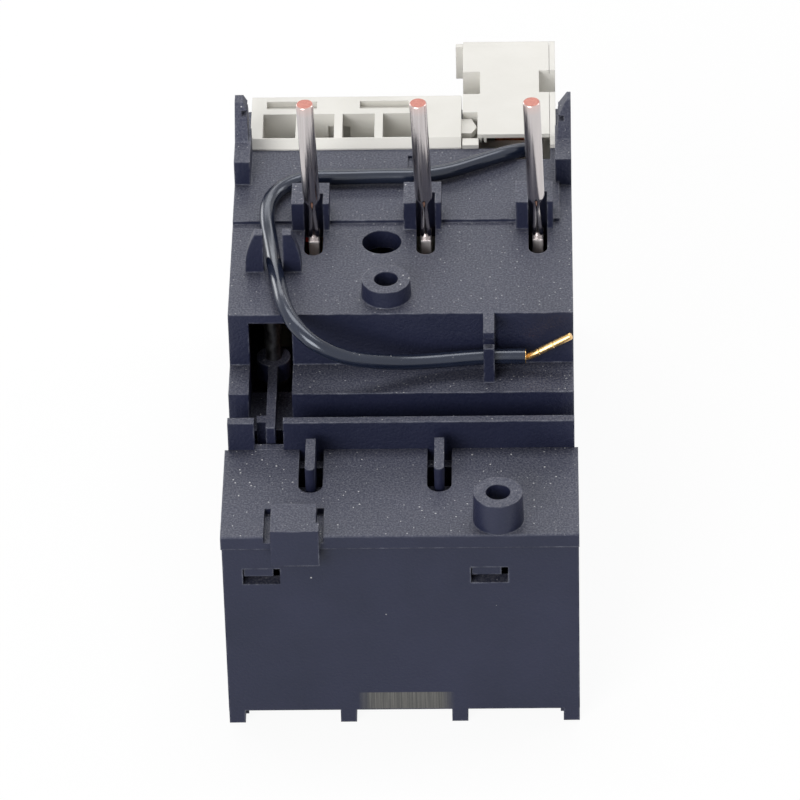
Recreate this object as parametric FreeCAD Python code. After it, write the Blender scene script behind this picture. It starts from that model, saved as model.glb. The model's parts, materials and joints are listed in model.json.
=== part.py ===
import FreeCAD, Part
import math
import os

# Three-pole thermal overload relay, 45 mm wide, for mounting under a contactor.
# Millimetres, +Z up. While it is modelled, X is the width, Y runs from the rear cover
# to the front and Z from the barrier feet to the line pins; the export moves the origin
# to the middle of the underside.

V = FreeCAD.Vector

# ---- overall form
case_width = 45.0
side_step = 0.4
ledge_lip = 0.05
wall = 1.7
rear_cover_thickness = 1.8
cover_gap = 0.55
foot_height = 2.0
foot_width = 2.06
bay_wall = 2.1
body_depth = 74.0
front_depth = 85.5
half_case = case_width / 2
half_housing = half_case - side_step
ledge_width = case_width + 2 * ledge_lip
inner_half = half_housing - wall
foot_pitch = (2 * inner_half + bay_wall) / 3

# ---- stepped deck, from the rear cover to the front
ledge_top = 31.3
ledge_thickness = 2.0
ledge_depth = 16.75
ledge_overhang = 1.2
ridge_top = 35.55
ridge_thickness = 1.2
channel_floor = 30.5
shelf_start = 21.9
shelf_top = 36.3
deck_start = 28.2
deck_top = 44.23
step_start = 48.1
step_height = 0.5
step_right_end = half_housing - 1.6
deck_end = 64.1
terminal_shelf_top = 37.5
front_top = 36.2

# ---- poles
pole_middle = 3.1
last_pole_gap = 2.75
pole_pitch = inner_half - last_pole_gap - pole_middle
pin_diameter = 2.25
pin_bottom = 49.6
pin_top = 64.3
pin_depth = 46.5
pin_lean = 1.8
tongue_thickness = 0.95
tongue_width = 3.2
tongue_bottom = 38.2
slot_width = 2.45
slot_start = pin_depth - 5.4
fork_start = pin_depth + 0.1
fork_end = pin_depth + 4.8
fork_top = 48.5
fork_left = 1.63
fork_right = 0.8
strip_thickness = 1.2
line_strip_width = 4.4
line_strip_drop = 31.8

# ---- inside
running_gap = 0.3
fit_gap = 0.05
partition = 1.2
heat_chamber_start = 3.6
heat_chamber_end = 15.5
heat_chamber_floor = 3.6
mechanism_start = 30.0
mechanism_floor = 19.5
mechanism_roof = 41.5
mechanism_front_roof = 34.7
bay_start = 48.0
bay_width = foot_pitch - bay_wall
bay_roof = 17.5
bimetal_thickness = 1.0
bimetal_width = 5.0
bimetal_start = 7.0
bimetal_top = 27.5
heater_bottom = 9.0
heater_top = 22.6
heater_turns = 6
slide_bottom = 24.5
slide_height = 2.5
slide_bar = 2.0
slide_finger = 0.9
slide_travel = 0.85
push_bar_start = 4.6
pull_bar_start = 12.4
fin_thickness = 1.25
fin_start = 8.6
fin_end = 15.1
fin_top = 34.3
fin_places = (-11.43, 4.91)
fin_slot_width = 3.1
fin_slot_start = 7.8
lever_x = 3.7 - inner_half
lever_pivot = 33.5
lever_start = 18.2
lever_end = 53.0
lever_bottom = 30.9
lever_height = 2.8
lever_thickness = 1.2
pivot_diameter = 2.0
carrier_start = 50.5
carrier_left = lever_x - 2.1
carrier_right = lever_x + 8.5
carrier_bottom = 22.5
carrier_height = 7.9
contact_thickness = 0.5
contact_rivet = 0.6
rivet_diameter = 2.0
contact_closed_gap = 0.1
contact_open_gap = 1.4

# ---- terminals and controls
frame_left = 1.8 - half_housing
frame_right = 7.6
frame_top = 45.9
frame_end = 74.8
window_start = 65.3
window_end = 70.8
window_offsets = ((1.6, 5.95), (6.55, 11.05), (12.15, 16.4), (17.5, 21.75))
windows = [(frame_left + a, frame_left + b) for a, b in window_offsets]
aux_screw_height = 39.6
aux_screw_head = 4.0
coil_left = 7.75
coil_right = half_housing - 2.0
coil_end = 87.5
coil_lid_start = 65.7
coil_lid_thickness = 0.6
load_screw_height = 9.5
load_screw_head = 7.4
load_screw_thread = 4.0
control_height = 27.0
dial_x = 11.2
dial_diameter = 10.4
dial_shaft = 4.0
reset_x = -2.2
stop_x = -13.6
button_diameter = 6.4
button_edge = 0.5
selector_bore = 7.2
button_stem = 3.0
button_front = 87.3
button_travel = 2.0
selector_outer = 9.8
plate_start = 71.0
plate_thickness = 1.5

# ---- coil lead
wire_diameter = 2.0
brass_pin_diameter = 0.95
brass_pin_length = 6.8
brass_pin_rise = 31.0
brass_pin_taper = 0.5
brass_pin_chamfer = 0.15
brass_pin_drop = 0.3
ferrule_length = 0.12

# ---- snap-on ledge cap and rear cover
boss_diameter = 6.2
boss_bore = 3.1
set_screw_depth = 3.2
set_screw_length = 3.0
rear_boss_x = 12.4
rear_boss_y = 2.1
rear_boss_height = 4.3
ledge_edge = 0.3
tab_left = -16.2
tab_right = -10.5
tab_reach = 2.1
tab_end = 3.6
tab_rise = 1.55
tab_bottom = 27.3
tab_groove = 0.9
window_places = (2.55 - half_case, 8.85)
window_width = 4.7
window_bottom = 22.75
window_top = 25.2
snap_clearance = 0.1
snap_arm = 1.2
snap_nose = 0.35
snap_side_gap = 0.85
snap_bottom_gap = 0.75

# ---- forms on the deck
deck_boss_x = -1.85
deck_boss_y = 32.5
deck_boss_height = 2.4
round_hole_x = -2.6
round_hole_y = 43.9
round_hole_diameter = 5.1
fork_notch_end = pin_depth + 2.4
horn_left = -17.7
horn_right = -15.2
horn_width = 2.4
horn_tip = 1.1
horn_start = 37.5
horn_height = 5.9
horn_thickness = 1.4
clip_left = 10.6
clip_thickness = 1.4
clip_start = 23.95
clip_wall_top = 41.7
clip_arm_bottom = 43.2
ear_start = 56.35
ear_foot_top = 48.35
ear_ramp_start = 60.9
ear_ramp_end = 64.3
ear_top = 52.4
ear_end = 66.0
ear_foot_width = 2.1
ear_low_width = 1.8
ear_width = 1.55
ear_end_width = 1.7
ear_bevels = {1: (1.05, 1.6), -1: (0.45, 0.8)}
ear_notch_width = 0.65
ear_notch_height = 0.7
groove_x = 0.6
groove_start = 58.9
groove_end = 62.6
wire_notch_left = 12.6
wire_notch_start = 61.6
wire_notch_floor = 42.4

# ---- openings inside the housing
passage_start = 17.0
passage_roof = 28.9
trench_left = lever_x - 2.8
trench_right = lever_x + 2.75
trench_roof = 42.9
notch_left = lever_x - 2.0
notch_right = lever_x + 1.7
lever_pocket_start = 18.6
lever_pocket_right = lever_x + 2.1
tail_floor = 24.2
tail_roof = 27.4

# ---- small parts
flare_bottom = 43.3
flare_diameter = 1.45
neck_height = 47.7
neck_diameter = 1.0
pin_chamfer = 0.2
load_strip_width = 4.8
strip_bend_start = 20.0
strip_bend_end = 32.0
terminal_width = 9.0
terminal_start = 74.6
terminal_top = 15.2
load_clamp = 8.6
heater_width = 3.2
heater_depth = 6.2
heater_band = 1.3
tail_width = 1.2
slide_reach = inner_half - 0.4
tail_right = tail_width + slide_travel + running_gap - slide_reach
tail_end = 20.6
finger_start = 19.4
finger_end = 20.8
finger_bottom = 25.2
hub_diameter = 4.4
carrier_bar = 3.0
post_reach = 3.5
post_bottom = 25.0
post_top = 28.0
contact_low = 23.6
contact_high = 29.4
contact_y = carrier_start + 5.0
no_post = lever_x + 2.7
nc_post = lever_x + 7.9
post_width = 1.5
fixed_thickness = 0.6
fixed_arm = 2.0
low_riser_end = 70.2
high_riser_end = 67.4
riser_width = 1.6
aux_strip_height = 37.6
aux_arm = 0.65
aux_tab_width = 3.6
aux_tab_height = 4.2
aux_tab_thickness = 0.6
aux_clamp = 3.8
aux_clamp_start = 70.5
aux_clamp_thickness = 0.6
aux_screw_thread = 2.5
strip_clear = 1.8
frame_slope_end = 65.15
frame_slots = [(frame_left + a, frame_left + b) for a, b in ((2.0, 8.65), (14.4, 20.9))]
frame_slot_start = 72.05
frame_slot_end = 73.75
frame_slits = [(frame_left + a, frame_left + b) for a, b in ((10.15, 11.05), (12.15, 13.05))]
frame_slit_top = 43.9
peg_start = 67.3
peg_end = 70.6
peg_tip = frame_right + 2.05
peg_top = 45.0
coil_cheek = 0.75
coil_pocket_left = 9.9
coil_pocket_floor = 40.5
coil_room_start = 72.0
coil_room_left = coil_left + 2.85
coil_room_right = coil_right - 2.7
coil_room_end = 82.4
coil_room_floor = 38.7
coil_well_floor = 41.0
coil_screw_x = (coil_room_left + coil_room_right) / 2
coil_tab_half = coil_screw_x - coil_room_left - 0.4
coil_screw_head = 4.8
coil_screw_thread = 2.9
coil_screw_height = 41.2
coil_plate = 0.8
coil_tab_setback = 1.6
coil_clamp = 4.6
coil_clamp_thickness = 0.9
coil_screw_reach = 4.0
coil_head_height = 2.4
coil_head_slot = 0.8
load_screw_reach = 4.0
load_head_height = 3.0
load_head_slot = 1.0
aux_screw_reach = 2.3
aux_head_height = 2.0
aux_head_slot = 0.6
screw_play = 0.15
clamp_play = 0.3
lid_nub = 0.7
lid_nubs = ((10.0, 10.3), (10.6, 10.95))
lid_notches = ((coil_left, 10.05, 75.15, 80.35), (17.95, coil_right, 75.45, 80.6), (coil_left, 9.75, coil_lid_start, 70.85))
front_wall = 1.6
front_corner = 1.0
control_gap = 0.15
flag_x = lever_x + 4.5
flag_width = 1.4
flag_bottom = 31.2
flag_height = 2.0
cam_diameter = 8.0
cam_offset = 0.9
cam_start = 61.0
cam_thickness = 3.5
dial_front = 85.3
dial_thickness = 2.9
button_back = 79.0
stem_end = 66.0
selector_front = 86.2
selector_flange = 11.4
spring_wire = 0.5
spring_radius = 2.25
spring_turns = 5
spring_facet_count = 8
spring_side_count = 6
small_side_count = 16
lead_side_count = 8

rear_arm = lever_pivot - (finger_start + finger_end) / 2
front_arm = lever_end - 0.8 - lever_pivot
carrier_travel = slide_travel * front_arm / rear_arm

# ---- coil lead: its route from the crimp to the loose end, chosen by hand
wire_clip_y = 26.2
wire_clip_z = 38.8
wire_clip_clearance = 0.3
lead_route = [
    (17.6, 70.6, 43.4),
    (17.6, 67.2, 43.4),
    (16.6, 63.9, 44.7),
    (14.0, 61.6, 45.9),
    (10.4, 59.7, 45.9),
    (6.4, 57.5, 45.9),
    (2.2, 56.3, 45.9),
    (-3.0, 56.4, 45.9),
    (-8.0, 56.2, 45.9),
    (-12.4, 56.3, 45.9),
    (-15.7, 54.4, 45.9),
    (-17.5, 51.1, 45.9),
    (-17.6, 46.8, 45.9),
    (-16.9, 42.2, 45.4),
    (-16.3, 37.2, 45.4),
    (-15.5, 32.0, 45.6),
    (-14.9, 28.4, 45.7),
    (-13.6, 25.2, 45.0),
    (-11.2, 22.9, 43.7),
    (-7.9, 22.2, 42.1),
    (-4.2, 23.1, 40.5),
    (0.2, 24.5, 39.2),
    (5.0, 25.7, 38.6),
    (9.6, 26.2, 38.7),
    (12.8, 26.2, 38.8),
    (15.9, 26.2, 38.8),
]

poles = [pole_middle + pole_pitch * n for n in (-1, 0, 1)]
bays = [foot_pitch * n for n in (-1, 0, 1)]
foot_half = foot_width / 2
cover_feet = [-foot_pitch / 2, foot_pitch / 2]
outer_foot = min(foot_pitch * 1.5, half_case - foot_half)
feet = [-outer_foot, *cover_feet, outer_foot]


def box(x0, x1, y0, y1, z0, z1):
    return Part.makeBox(x1 - x0, y1 - y0, z1 - z0, V(x0, y0, z0))


def prism(points, direction):
    face = Part.Face(Part.makePolygon([V(*p) for p in points + points[:1]]))
    return face.extrude(V(*direction))


def prism_x(points, x0, x1):
    return prism([(x0, y, z) for y, z in points], (x1 - x0, 0, 0))


def prism_y(points, y0, y1):
    return prism([(x, y0, z) for x, z in points], (0, y1 - y0, 0))


def prism_z(points, z0, z1):
    return prism([(x, y, z0) for x, y in points], (0, 0, z1 - z0))


def rod_y(x, z, y0, y1, diameter):
    return Part.makeCylinder(diameter / 2, y1 - y0, V(x, y0, z), V(0, 1, 0))


def corners(a, b, diameter):
    """Corner points of the few-sided section that small repeated pieces have."""
    angles = [2 * math.pi * n / small_side_count for n in range(small_side_count)]
    return [(a + diameter / 2 * math.cos(t), b + diameter / 2 * math.sin(t)) for t in angles]


def small_rod_y(x, z, y0, y1, diameter):
    return prism_y(corners(x, z, diameter), y0, y1)


def small_rod_x(y, z, x0, x1, diameter):
    return prism_x(corners(y, z, diameter), x0, x1)


def small_rod_z(x, y, z0, z1, diameter):
    return prism_z(corners(x, y, diameter), z0, z1)


def rod_x(y, z, x0, x1, diameter):
    return Part.makeCylinder(diameter / 2, x1 - x0, V(x0, y, z), V(1, 0, 0))


def rod_z(x, y, z0, z1, diameter):
    return Part.makeCylinder(diameter / 2, z1 - z0, V(x, y, z0), V(0, 0, 1))


def ring_y(x, z, y0, y1, outer, inner):
    return rod_y(x, z, y0, y1, outer).cut(rod_y(x, z, y0, y1, inner))


def fuse(first, *others):
    solid = first.fuse(list(others))
    return solid.removeSplitter()


def round_slot(x, width, y0, y1, z0, z1):
    """Slot open at y1 with a round end at y0."""
    half = width / 2
    return box(x - half, x + half, y0 + half, y1, z0, z1).fuse(rod_z(x, y0 + half, z0, z1, width))




def deck_profile():
    """Outline of the housing seen from the side."""
    return [
        (rear_cover_thickness, foot_height),
        (rear_cover_thickness, ledge_top - ledge_thickness),
        (ledge_depth, ledge_top - ledge_thickness),
        (ledge_depth, ridge_top),
        (ledge_depth + ridge_thickness, ridge_top),
        (ledge_depth + ridge_thickness, channel_floor),
        (shelf_start, channel_floor),
        (shelf_start, shelf_top),
        (deck_start, shelf_top),
        (deck_start, deck_top),
        (deck_end, deck_top),
        (deck_end, terminal_shelf_top),
        (body_depth, terminal_shelf_top),
        (body_depth, foot_height),
    ]


def boss(x, y, z, height):
    """Hollow round boss with a slight draft."""
    outer = Part.makeCone(boss_diameter / 2 + 0.12, boss_diameter / 2, height, V(x, y, z), V(0, 0, 1))
    return outer


def rear_cover():
    plate = box(-half_case, half_case, 0, rear_cover_thickness, foot_height, ledge_top - ledge_thickness - cover_gap)
    legs = []
    for x in feet:
        legs.append(box(x - foot_half, x + foot_half, 0, rear_cover_thickness, 0, foot_height))
    cover = fuse(plate, *legs)
    for x in window_places:
        cover = cover.cut(box(x, x + window_width, 0, rear_cover_thickness, window_bottom, window_top))
    return cover


def ledge_cover():
    """Snap-on cap over the bimetal chamber, with its release tab and a screw boss."""
    half = ledge_width / 2
    bottom = ledge_top - ledge_thickness
    cap = box(-half, half, -ledge_overhang, ledge_depth, bottom, ledge_top)
    cap = cap.makeFillet(ledge_edge, [edge for edge in cap.Edges if rear_top_edge(edge)])
    tab = box(tab_left, tab_right, -tab_reach, tab_end, ledge_top, ledge_top + tab_rise)
    tab_front = box(tab_left, tab_right + 0.4, -tab_reach, -running_gap, tab_bottom, ledge_top + tab_rise)
    cap = fuse(cap, tab, tab_front, boss(rear_boss_x, rear_boss_y, ledge_top, rear_boss_height))
    for side in (-1, 1):
        edge = tab_left - tab_groove if side < 0 else tab_right
        cap = cap.cut(box(edge, edge + tab_groove, -ledge_overhang, tab_end + 1, ledge_top - 1, ledge_top))
    cap = cap.cut(rod_z(rear_boss_x, rear_boss_y, bottom, ledge_top + rear_boss_height, boss_bore))
    for x in fin_places:
        cap = cap.cut(round_slot(x, fin_slot_width, fin_slot_start, ledge_depth, bottom, ledge_top))
    arm_start = rear_cover_thickness + running_gap
    nose_bottom = window_bottom + snap_bottom_gap
    nose_top = window_top - snap_clearance
    for x in window_places:
        left = x + snap_clearance
        right = x + window_width - snap_side_gap
        arm = box(left, right, arm_start, arm_start + snap_arm, nose_bottom, bottom)
        nose = prism_x([
            (arm_start, nose_bottom),
            (snap_nose + 0.4, nose_bottom),
            (snap_nose, nose_bottom + 0.3),
            (snap_nose, nose_top),
            (arm_start, nose_top),
        ], left, right)
        cap = fuse(cap, arm, nose)
    return cap


def rear_top_edge(edge):
    """True for the long top edge over the rear cover."""
    box_of = edge.BoundBox
    return box_of.XLength > ledge_width - 1 and box_of.YMin < 0 and box_of.ZMin > ledge_top - 0.1


def housing_halves():
    """Stepped moulding that carries every other piece, and the open base tray under it."""
    body = prism_x(deck_profile(), -half_housing, half_housing)
    step = box(-half_housing, step_right_end, step_start, deck_end, deck_top, deck_top + step_height)
    ribs = foot_ribs(rear_cover_thickness, body_depth)
    body = fuse(body, step, *ribs, *deck_forms())
    for hollow in housing_hollows():
        body = body.cut(hollow)
    body = fuse(body, *inner_walls())
    base_space = box(-half_housing, half_housing, 0, body_depth, 0, bay_roof)
    return body.cut(base_space).removeSplitter(), body.common(base_space).removeSplitter()


def foot_ribs(y0, y1):
    """Phase barriers along the underside; the part stands on them."""
    ribs = []
    outer = min(outer_foot, half_housing - foot_half)
    for x in (-outer, *cover_feet, outer):
        ribs.append(box(x - foot_half, x + foot_half, y0, y1, 0, foot_height))
    return ribs


def deck_forms():
    """Bosses, pin forks, cable horns, clip rib and end ears on top of the housing."""
    forms = [boss(deck_boss_x, deck_boss_y, deck_top, deck_boss_height)]
    for x in poles:
        left = x - slot_width / 2 - fork_left
        right = x + slot_width / 2 + fork_right
        forms.append(box(left, right, fork_start, fork_end, deck_top, fork_top))
    forms.append(horn(horn_left, -1))
    forms.append(horn(horn_right, 1))
    forms.append(box(clip_left, clip_left + clip_thickness, clip_start, deck_start, shelf_top, deck_top))
    forms.extend(ear(side) for side in (-1, 1))
    return forms


def horn(inner_x, side):
    """Cable horn: straight towards the cable, curved away from it."""
    outer_x = inner_x + side * horn_width
    tip_x = inner_x + side * horn_tip
    bulge_x = inner_x + side * horn_width * 0.86
    points = [V(inner_x, horn_start, deck_top), V(inner_x, horn_start, deck_top + horn_height)]
    tip = V(tip_x, horn_start, deck_top + horn_height)
    bulge = V(bulge_x, horn_start, deck_top + horn_height * 0.55)
    foot = V(outer_x, horn_start, deck_top)
    outline = Part.Wire([
        Part.LineSegment(points[0], points[1]).toShape(),
        Part.LineSegment(points[1], tip).toShape(),
        Part.Arc(tip, bulge, foot).toShape(),
        Part.LineSegment(foot, points[0]).toShape(),
    ])
    return Part.Face(outline).extrude(V(0, horn_thickness, 0))


def ear(side):
    """Corner ear with a low foot, a ramp, a bevelled tip and the notch of its hook."""
    deck = deck_top + (step_height if side < 0 else 0)
    profile = [
        (ear_start, deck_top),
        (ear_start, ear_foot_top),
        (ear_ramp_start, ear_foot_top),
        (ear_ramp_end, ear_top),
        (ear_end, ear_top),
        (ear_end, deck - 1),
        (ear_start, deck - 1),
    ]
    outer = half_housing
    inner = outer - ear_foot_width
    taper = prism_y([
        (inner, ear_foot_top),
        (outer - ear_low_width, ear_foot_top),
        (outer - ear_width, ear_top),
        (inner, ear_top),
    ], ear_start, ear_end)
    bevel_width, bevel_height = ear_bevels[side]
    bevel_bottom = ear_top - bevel_height
    bevel = prism_y([
        (inner, bevel_bottom),
        (outer - ear_width, bevel_bottom),
        (outer - ear_width + bevel_width, ear_top),
        (inner, ear_top),
    ], ear_start, ear_end)
    notch_right = outer - ear_width + ear_notch_width
    notch = box(inner, notch_right, ear_start, ear_end, bevel_bottom - ear_notch_height, bevel_bottom - 0.1)
    beside_frame = box(inner, outer - ear_end_width, deck_end, ear_end, deck - 1, ear_top)
    shape = prism_x(profile, inner, outer).cut(taper).cut(bevel).cut(notch).cut(beside_frame)
    if side < 0:
        shape = shape.mirror(V(0, 0, 0), V(1, 0, 0))
    return shape


def housing_hollows():
    """Everything that is open in the housing."""
    front = body_depth
    ledge_bottom = ledge_top - ledge_thickness
    hollows = [
        box(-inner_half, inner_half, rear_cover_thickness, heat_chamber_end, heat_chamber_floor, ledge_bottom),
        box(-inner_half, inner_half, passage_start, bay_start - wall, heat_chamber_floor, bay_roof),
        box(-inner_half, inner_half, passage_start, mechanism_start, mechanism_floor, passage_roof),
        box(-inner_half, inner_half, mechanism_start, front, mechanism_floor, mechanism_front_roof),
        box(-inner_half, inner_half, mechanism_start, deck_end - wall, mechanism_front_roof, mechanism_roof),
        box(trench_left, trench_right, ledge_depth + ridge_thickness, mechanism_start, channel_floor, trench_roof),
        box(trench_left, lever_pocket_right, lever_pocket_start, shelf_start, passage_roof, channel_floor),
        box(notch_left, notch_right, ledge_depth, ledge_depth + ridge_thickness, ledge_top, ridge_top),
        box(-inner_half, tail_right, heat_chamber_end, passage_start, tail_floor, tail_roof),
        rod_z(round_hole_x, round_hole_y, mechanism_roof, deck_top, round_hole_diameter),
        rod_z(deck_boss_x, deck_boss_y, mechanism_roof, deck_top + deck_boss_height, boss_bore),
        box(groove_x, groove_x + 0.6, groove_start, groove_end, deck_top + 0.1, deck_top + step_height),
    ]
    hollows.append(box(wire_notch_left, coil_right - coil_cheek, wire_notch_start, deck_end, wire_notch_floor,
                       deck_top + step_height))
    clip_right = clip_left + clip_thickness
    reach = wire_diameter / 2 + wire_clip_clearance
    hollows.append(rod_x(wire_clip_y, wire_clip_z, clip_left, clip_right, 2 * reach))
    hollows.append(box(clip_left, clip_right, wire_clip_y - reach, wire_clip_y + reach, wire_clip_z,
                       clip_arm_bottom))
    hollows.append(box(clip_left, clip_right, clip_start, wire_clip_y, clip_wall_top, clip_arm_bottom))
    for x in poles:
        hollows.append(round_slot(x, slot_width, slot_start, fork_notch_end, mechanism_roof, fork_top))
        half = line_strip_width / 2 + running_gap
        hollows.append(box(x - half, x + half, heat_chamber_end, passage_start, mechanism_floor,
                           mechanism_floor + strip_thickness + running_gap))
        half = load_strip_width / 2 + running_gap
        hollows.append(box(x - half, x + half, heat_chamber_end, passage_start, heat_chamber_floor,
                           heat_chamber_floor + strip_thickness + running_gap))
    for x in bays:
        hollows.append(box(x - bay_width / 2, x + bay_width / 2, bay_start, front, heat_chamber_floor, bay_roof))
        half = terminal_width / 2 + running_gap
        hollows.append(box(x - half, x + half, bay_start - wall, bay_start, heat_chamber_floor,
                           heat_chamber_floor + strip_thickness + running_gap))
    for x0, x1 in windows:
        hollows.append(box(x0, x1, window_start, window_end, mechanism_front_roof, terminal_shelf_top))
    return hollows


def inner_walls():
    """Partitions between the bimetals, and the rail under the contact carrier."""
    top = slide_bottom - running_gap
    walls = []
    for left, right in zip(poles, poles[1:]):
        middle = (left + right) / 2
        walls.append(box(middle - partition / 2, middle + partition / 2, heat_chamber_start, heat_chamber_end,
                         heat_chamber_floor, top))
    rail_left = -inner_half
    rail_right = carrier_right + 2
    walls.append(box(rail_left, rail_right, carrier_start, carrier_start + carrier_bar, mechanism_floor,
                     carrier_bottom - running_gap))
    return walls


def front_halves():
    """Front of the case: the panel with the control openings, and the frame of walls behind it."""
    shell = box(-half_housing, half_housing, body_depth, front_depth, foot_height, front_top)
    corner_edges = [e for e in shell.Edges if e.BoundBox.ZLength > 10 and e.BoundBox.YMin > front_depth - 0.1]
    shell = shell.makeFillet(front_corner, corner_edges)
    shell = fuse(shell, *foot_ribs(body_depth, front_depth))
    inside = front_depth - front_wall
    shell = shell.cut(box(-inner_half, inner_half, body_depth, inside, mechanism_floor, front_top - wall))
    for x in bays:
        shell = shell.cut(box(x - bay_width / 2, x + bay_width / 2, body_depth, inside, 0, bay_roof))
        shell = shell.cut(rod_y(x, load_screw_height, inside, front_depth, load_screw_head + 1.0))
    shell = shell.cut(rod_y(dial_x, control_height, inside, front_depth, dial_diameter + 2 * control_gap))
    shell = shell.cut(rod_y(reset_x, control_height, inside, front_depth, selector_outer + 2 * control_gap))
    shell = shell.cut(rod_y(stop_x, control_height, inside, front_depth, button_diameter + 2 * control_gap))
    flag_right = flag_x + flag_width + running_gap
    shell = shell.cut(box(flag_x - carrier_travel - running_gap, flag_right, inside, front_depth,
                          flag_bottom - running_gap, flag_bottom + flag_height + running_gap))
    front = box(-half_case, half_case, inside, front_depth + 1, -1, front_top + 1)
    return shell.common(front), shell.cut(front)


def aux_terminal_frame():
    """Pale frame over the four auxiliary terminals."""
    profile = [
        (deck_end, terminal_shelf_top),
        (deck_end, deck_top + step_height + 0.2),
        (frame_slope_end, frame_top),
        (frame_end, frame_top),
        (frame_end, terminal_shelf_top),
    ]
    frame = prism_x(profile, frame_left, frame_right)
    peg = prism_z([
        (frame_right, peg_start),
        (peg_tip - 0.7, peg_start),
        (peg_tip, peg_start + 1.4),
        (peg_tip - 0.7, peg_end),
        (frame_right, peg_end),
    ], peg_top - 1.0, peg_top)
    frame = fuse(frame, peg)
    room_top = aux_screw_height + aux_tab_height / 2
    frame = frame.cut(box(windows[0][0], windows[-1][1], window_start, window_end, terminal_shelf_top,
                          aux_strip_height + strip_clear))
    for x0, x1 in windows:
        middle = (x0 + x1) / 2
        frame = frame.cut(box(x0, x1, window_start, window_end, terminal_shelf_top, frame_top))
        frame = frame.cut(box(middle - aux_clamp / 2 - 0.2, middle + aux_clamp / 2 + 0.2, window_end,
                              aux_clamp_start + aux_clamp_thickness, aux_screw_height - aux_clamp / 2 - 0.2,
                              room_top))
        frame = frame.cut(rod_y(middle, aux_screw_height, window_end, frame_end, aux_screw_head + 0.5))
    for x0, x1 in frame_slits:
        frame = frame.cut(box(x0, x1, window_end, window_end + 0.9, terminal_shelf_top, frame_slit_top))
    for x0, x1 in frame_slots:
        frame = frame.cut(box(x0, x1, frame_slot_start, frame_slot_end, frame_top - 0.9, frame_top))
    return frame


def coil_terminal_block():
    """Pale block that brings the coil terminal to the front."""
    top = frame_top - coil_lid_thickness
    profile = [
        (deck_end, terminal_shelf_top),
        (deck_end, top),
        (coil_end, top),
        (coil_end, front_top),
        (body_depth, front_top),
        (body_depth, terminal_shelf_top),
    ]
    block = prism_x(profile, coil_left, coil_right)
    cheek_profile = [
        (deck_end, deck_top + step_height + 0.2),
        (frame_slope_end, frame_top),
        (coil_end, frame_top),
        (coil_end, top),
        (deck_end, top - 1),
    ]
    cheek = prism_x(cheek_profile, coil_right - coil_cheek, coil_right)
    cheek = cheek.cut(prism_y([
        (coil_right - coil_cheek, frame_top - 0.4),
        (coil_right - coil_cheek, top - 1),
        (coil_right - 0.2, top - 1),
    ], deck_end, coil_lid_start))
    flange = box(coil_left - 1.0, coil_left, coil_end - 0.8, coil_end, top - 4.8, frame_top - 0.3)
    block = fuse(block, cheek, flange)
    pocket_right = coil_right - coil_cheek
    block = block.cut(box(coil_pocket_left, pocket_right, deck_end, coil_room_start, coil_pocket_floor, frame_top))
    block = block.cut(box(coil_room_left, coil_room_right, coil_room_start, coil_room_end, coil_room_floor, top))
    for x0, x1, y0, y1 in lid_notches:
        block = block.cut(box(max(x0, coil_left), x1, y0, y1, coil_well_floor, frame_top))
    block = block.cut(rod_y(coil_screw_x, coil_screw_height, coil_room_end, coil_end, coil_screw_head + 0.6))
    return block


def coil_terminal_cover():
    """Thin lid with the notches of its snap wells."""
    left = coil_left
    right = coil_right - coil_cheek
    lid = box(left, right - fit_gap, coil_lid_start, coil_end, frame_top - coil_lid_thickness, frame_top)
    for x0, x1, y0, y1 in lid_notches:
        lid = lid.cut(box(x0, x1, y0, y1, 0, frame_top))
    under = frame_top - coil_lid_thickness
    nubs = [box(x0, x1, coil_lid_start, coil_lid_start + 0.5, under - lid_nub, under) for x0, x1 in lid_nubs]
    return fuse(lid, *nubs)


def line_pin(x):
    """Round contact pin, waisted over a flat tongue that stands on its strip."""
    outline = [
        (0, flare_bottom),
        (flare_diameter / 2, flare_bottom),
        (neck_diameter / 2, neck_height),
        (pin_diameter / 2, pin_bottom),
        (pin_diameter / 2, pin_top - pin_chamfer),
        (pin_diameter / 2 - pin_chamfer, pin_top),
        (0, pin_top),
    ]
    axis = V(x, pin_depth, 0)
    wire = Part.makePolygon([V(x + r, pin_depth, z) for r, z in outline + outline[:1]])
    shaft = Part.Face(wire).revolve(axis, V(0, 0, 1), 360)
    shaft.rotate(V(x, pin_depth, flare_bottom), V(0, 1, 0), -pin_lean)
    half = tongue_thickness / 2
    tongue = box(x - half, x + half, pin_depth - tongue_width / 2, pin_depth + tongue_width / 2,
                 tongue_bottom, flare_bottom + 0.3)
    return fuse(shaft, tongue)


def line_strip(x):
    """Copper strip from under the pin down and back to the heater."""
    start = bimetal_start + bimetal_width + 2 * running_gap + strip_thickness / 2 - 0.4
    low = mechanism_floor
    high = tongue_bottom
    drop = line_strip_drop
    end = pin_depth + tongue_width / 2 + 0.9
    profile = [
        (start, low),
        (drop + strip_thickness, low),
        (drop + strip_thickness, high - strip_thickness),
        (end, high - strip_thickness),
        (end, high),
        (drop, high),
        (drop, low + strip_thickness),
        (start, low + strip_thickness),
    ]
    half = line_strip_width / 2
    return prism_x(profile, x - half, x + half)


def bimetal(x):
    low = heat_chamber_floor + strip_thickness + running_gap
    half = bimetal_thickness / 2
    return box(x - half, x + half, bimetal_start, bimetal_start + bimetal_width, low, bimetal_top)


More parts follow.
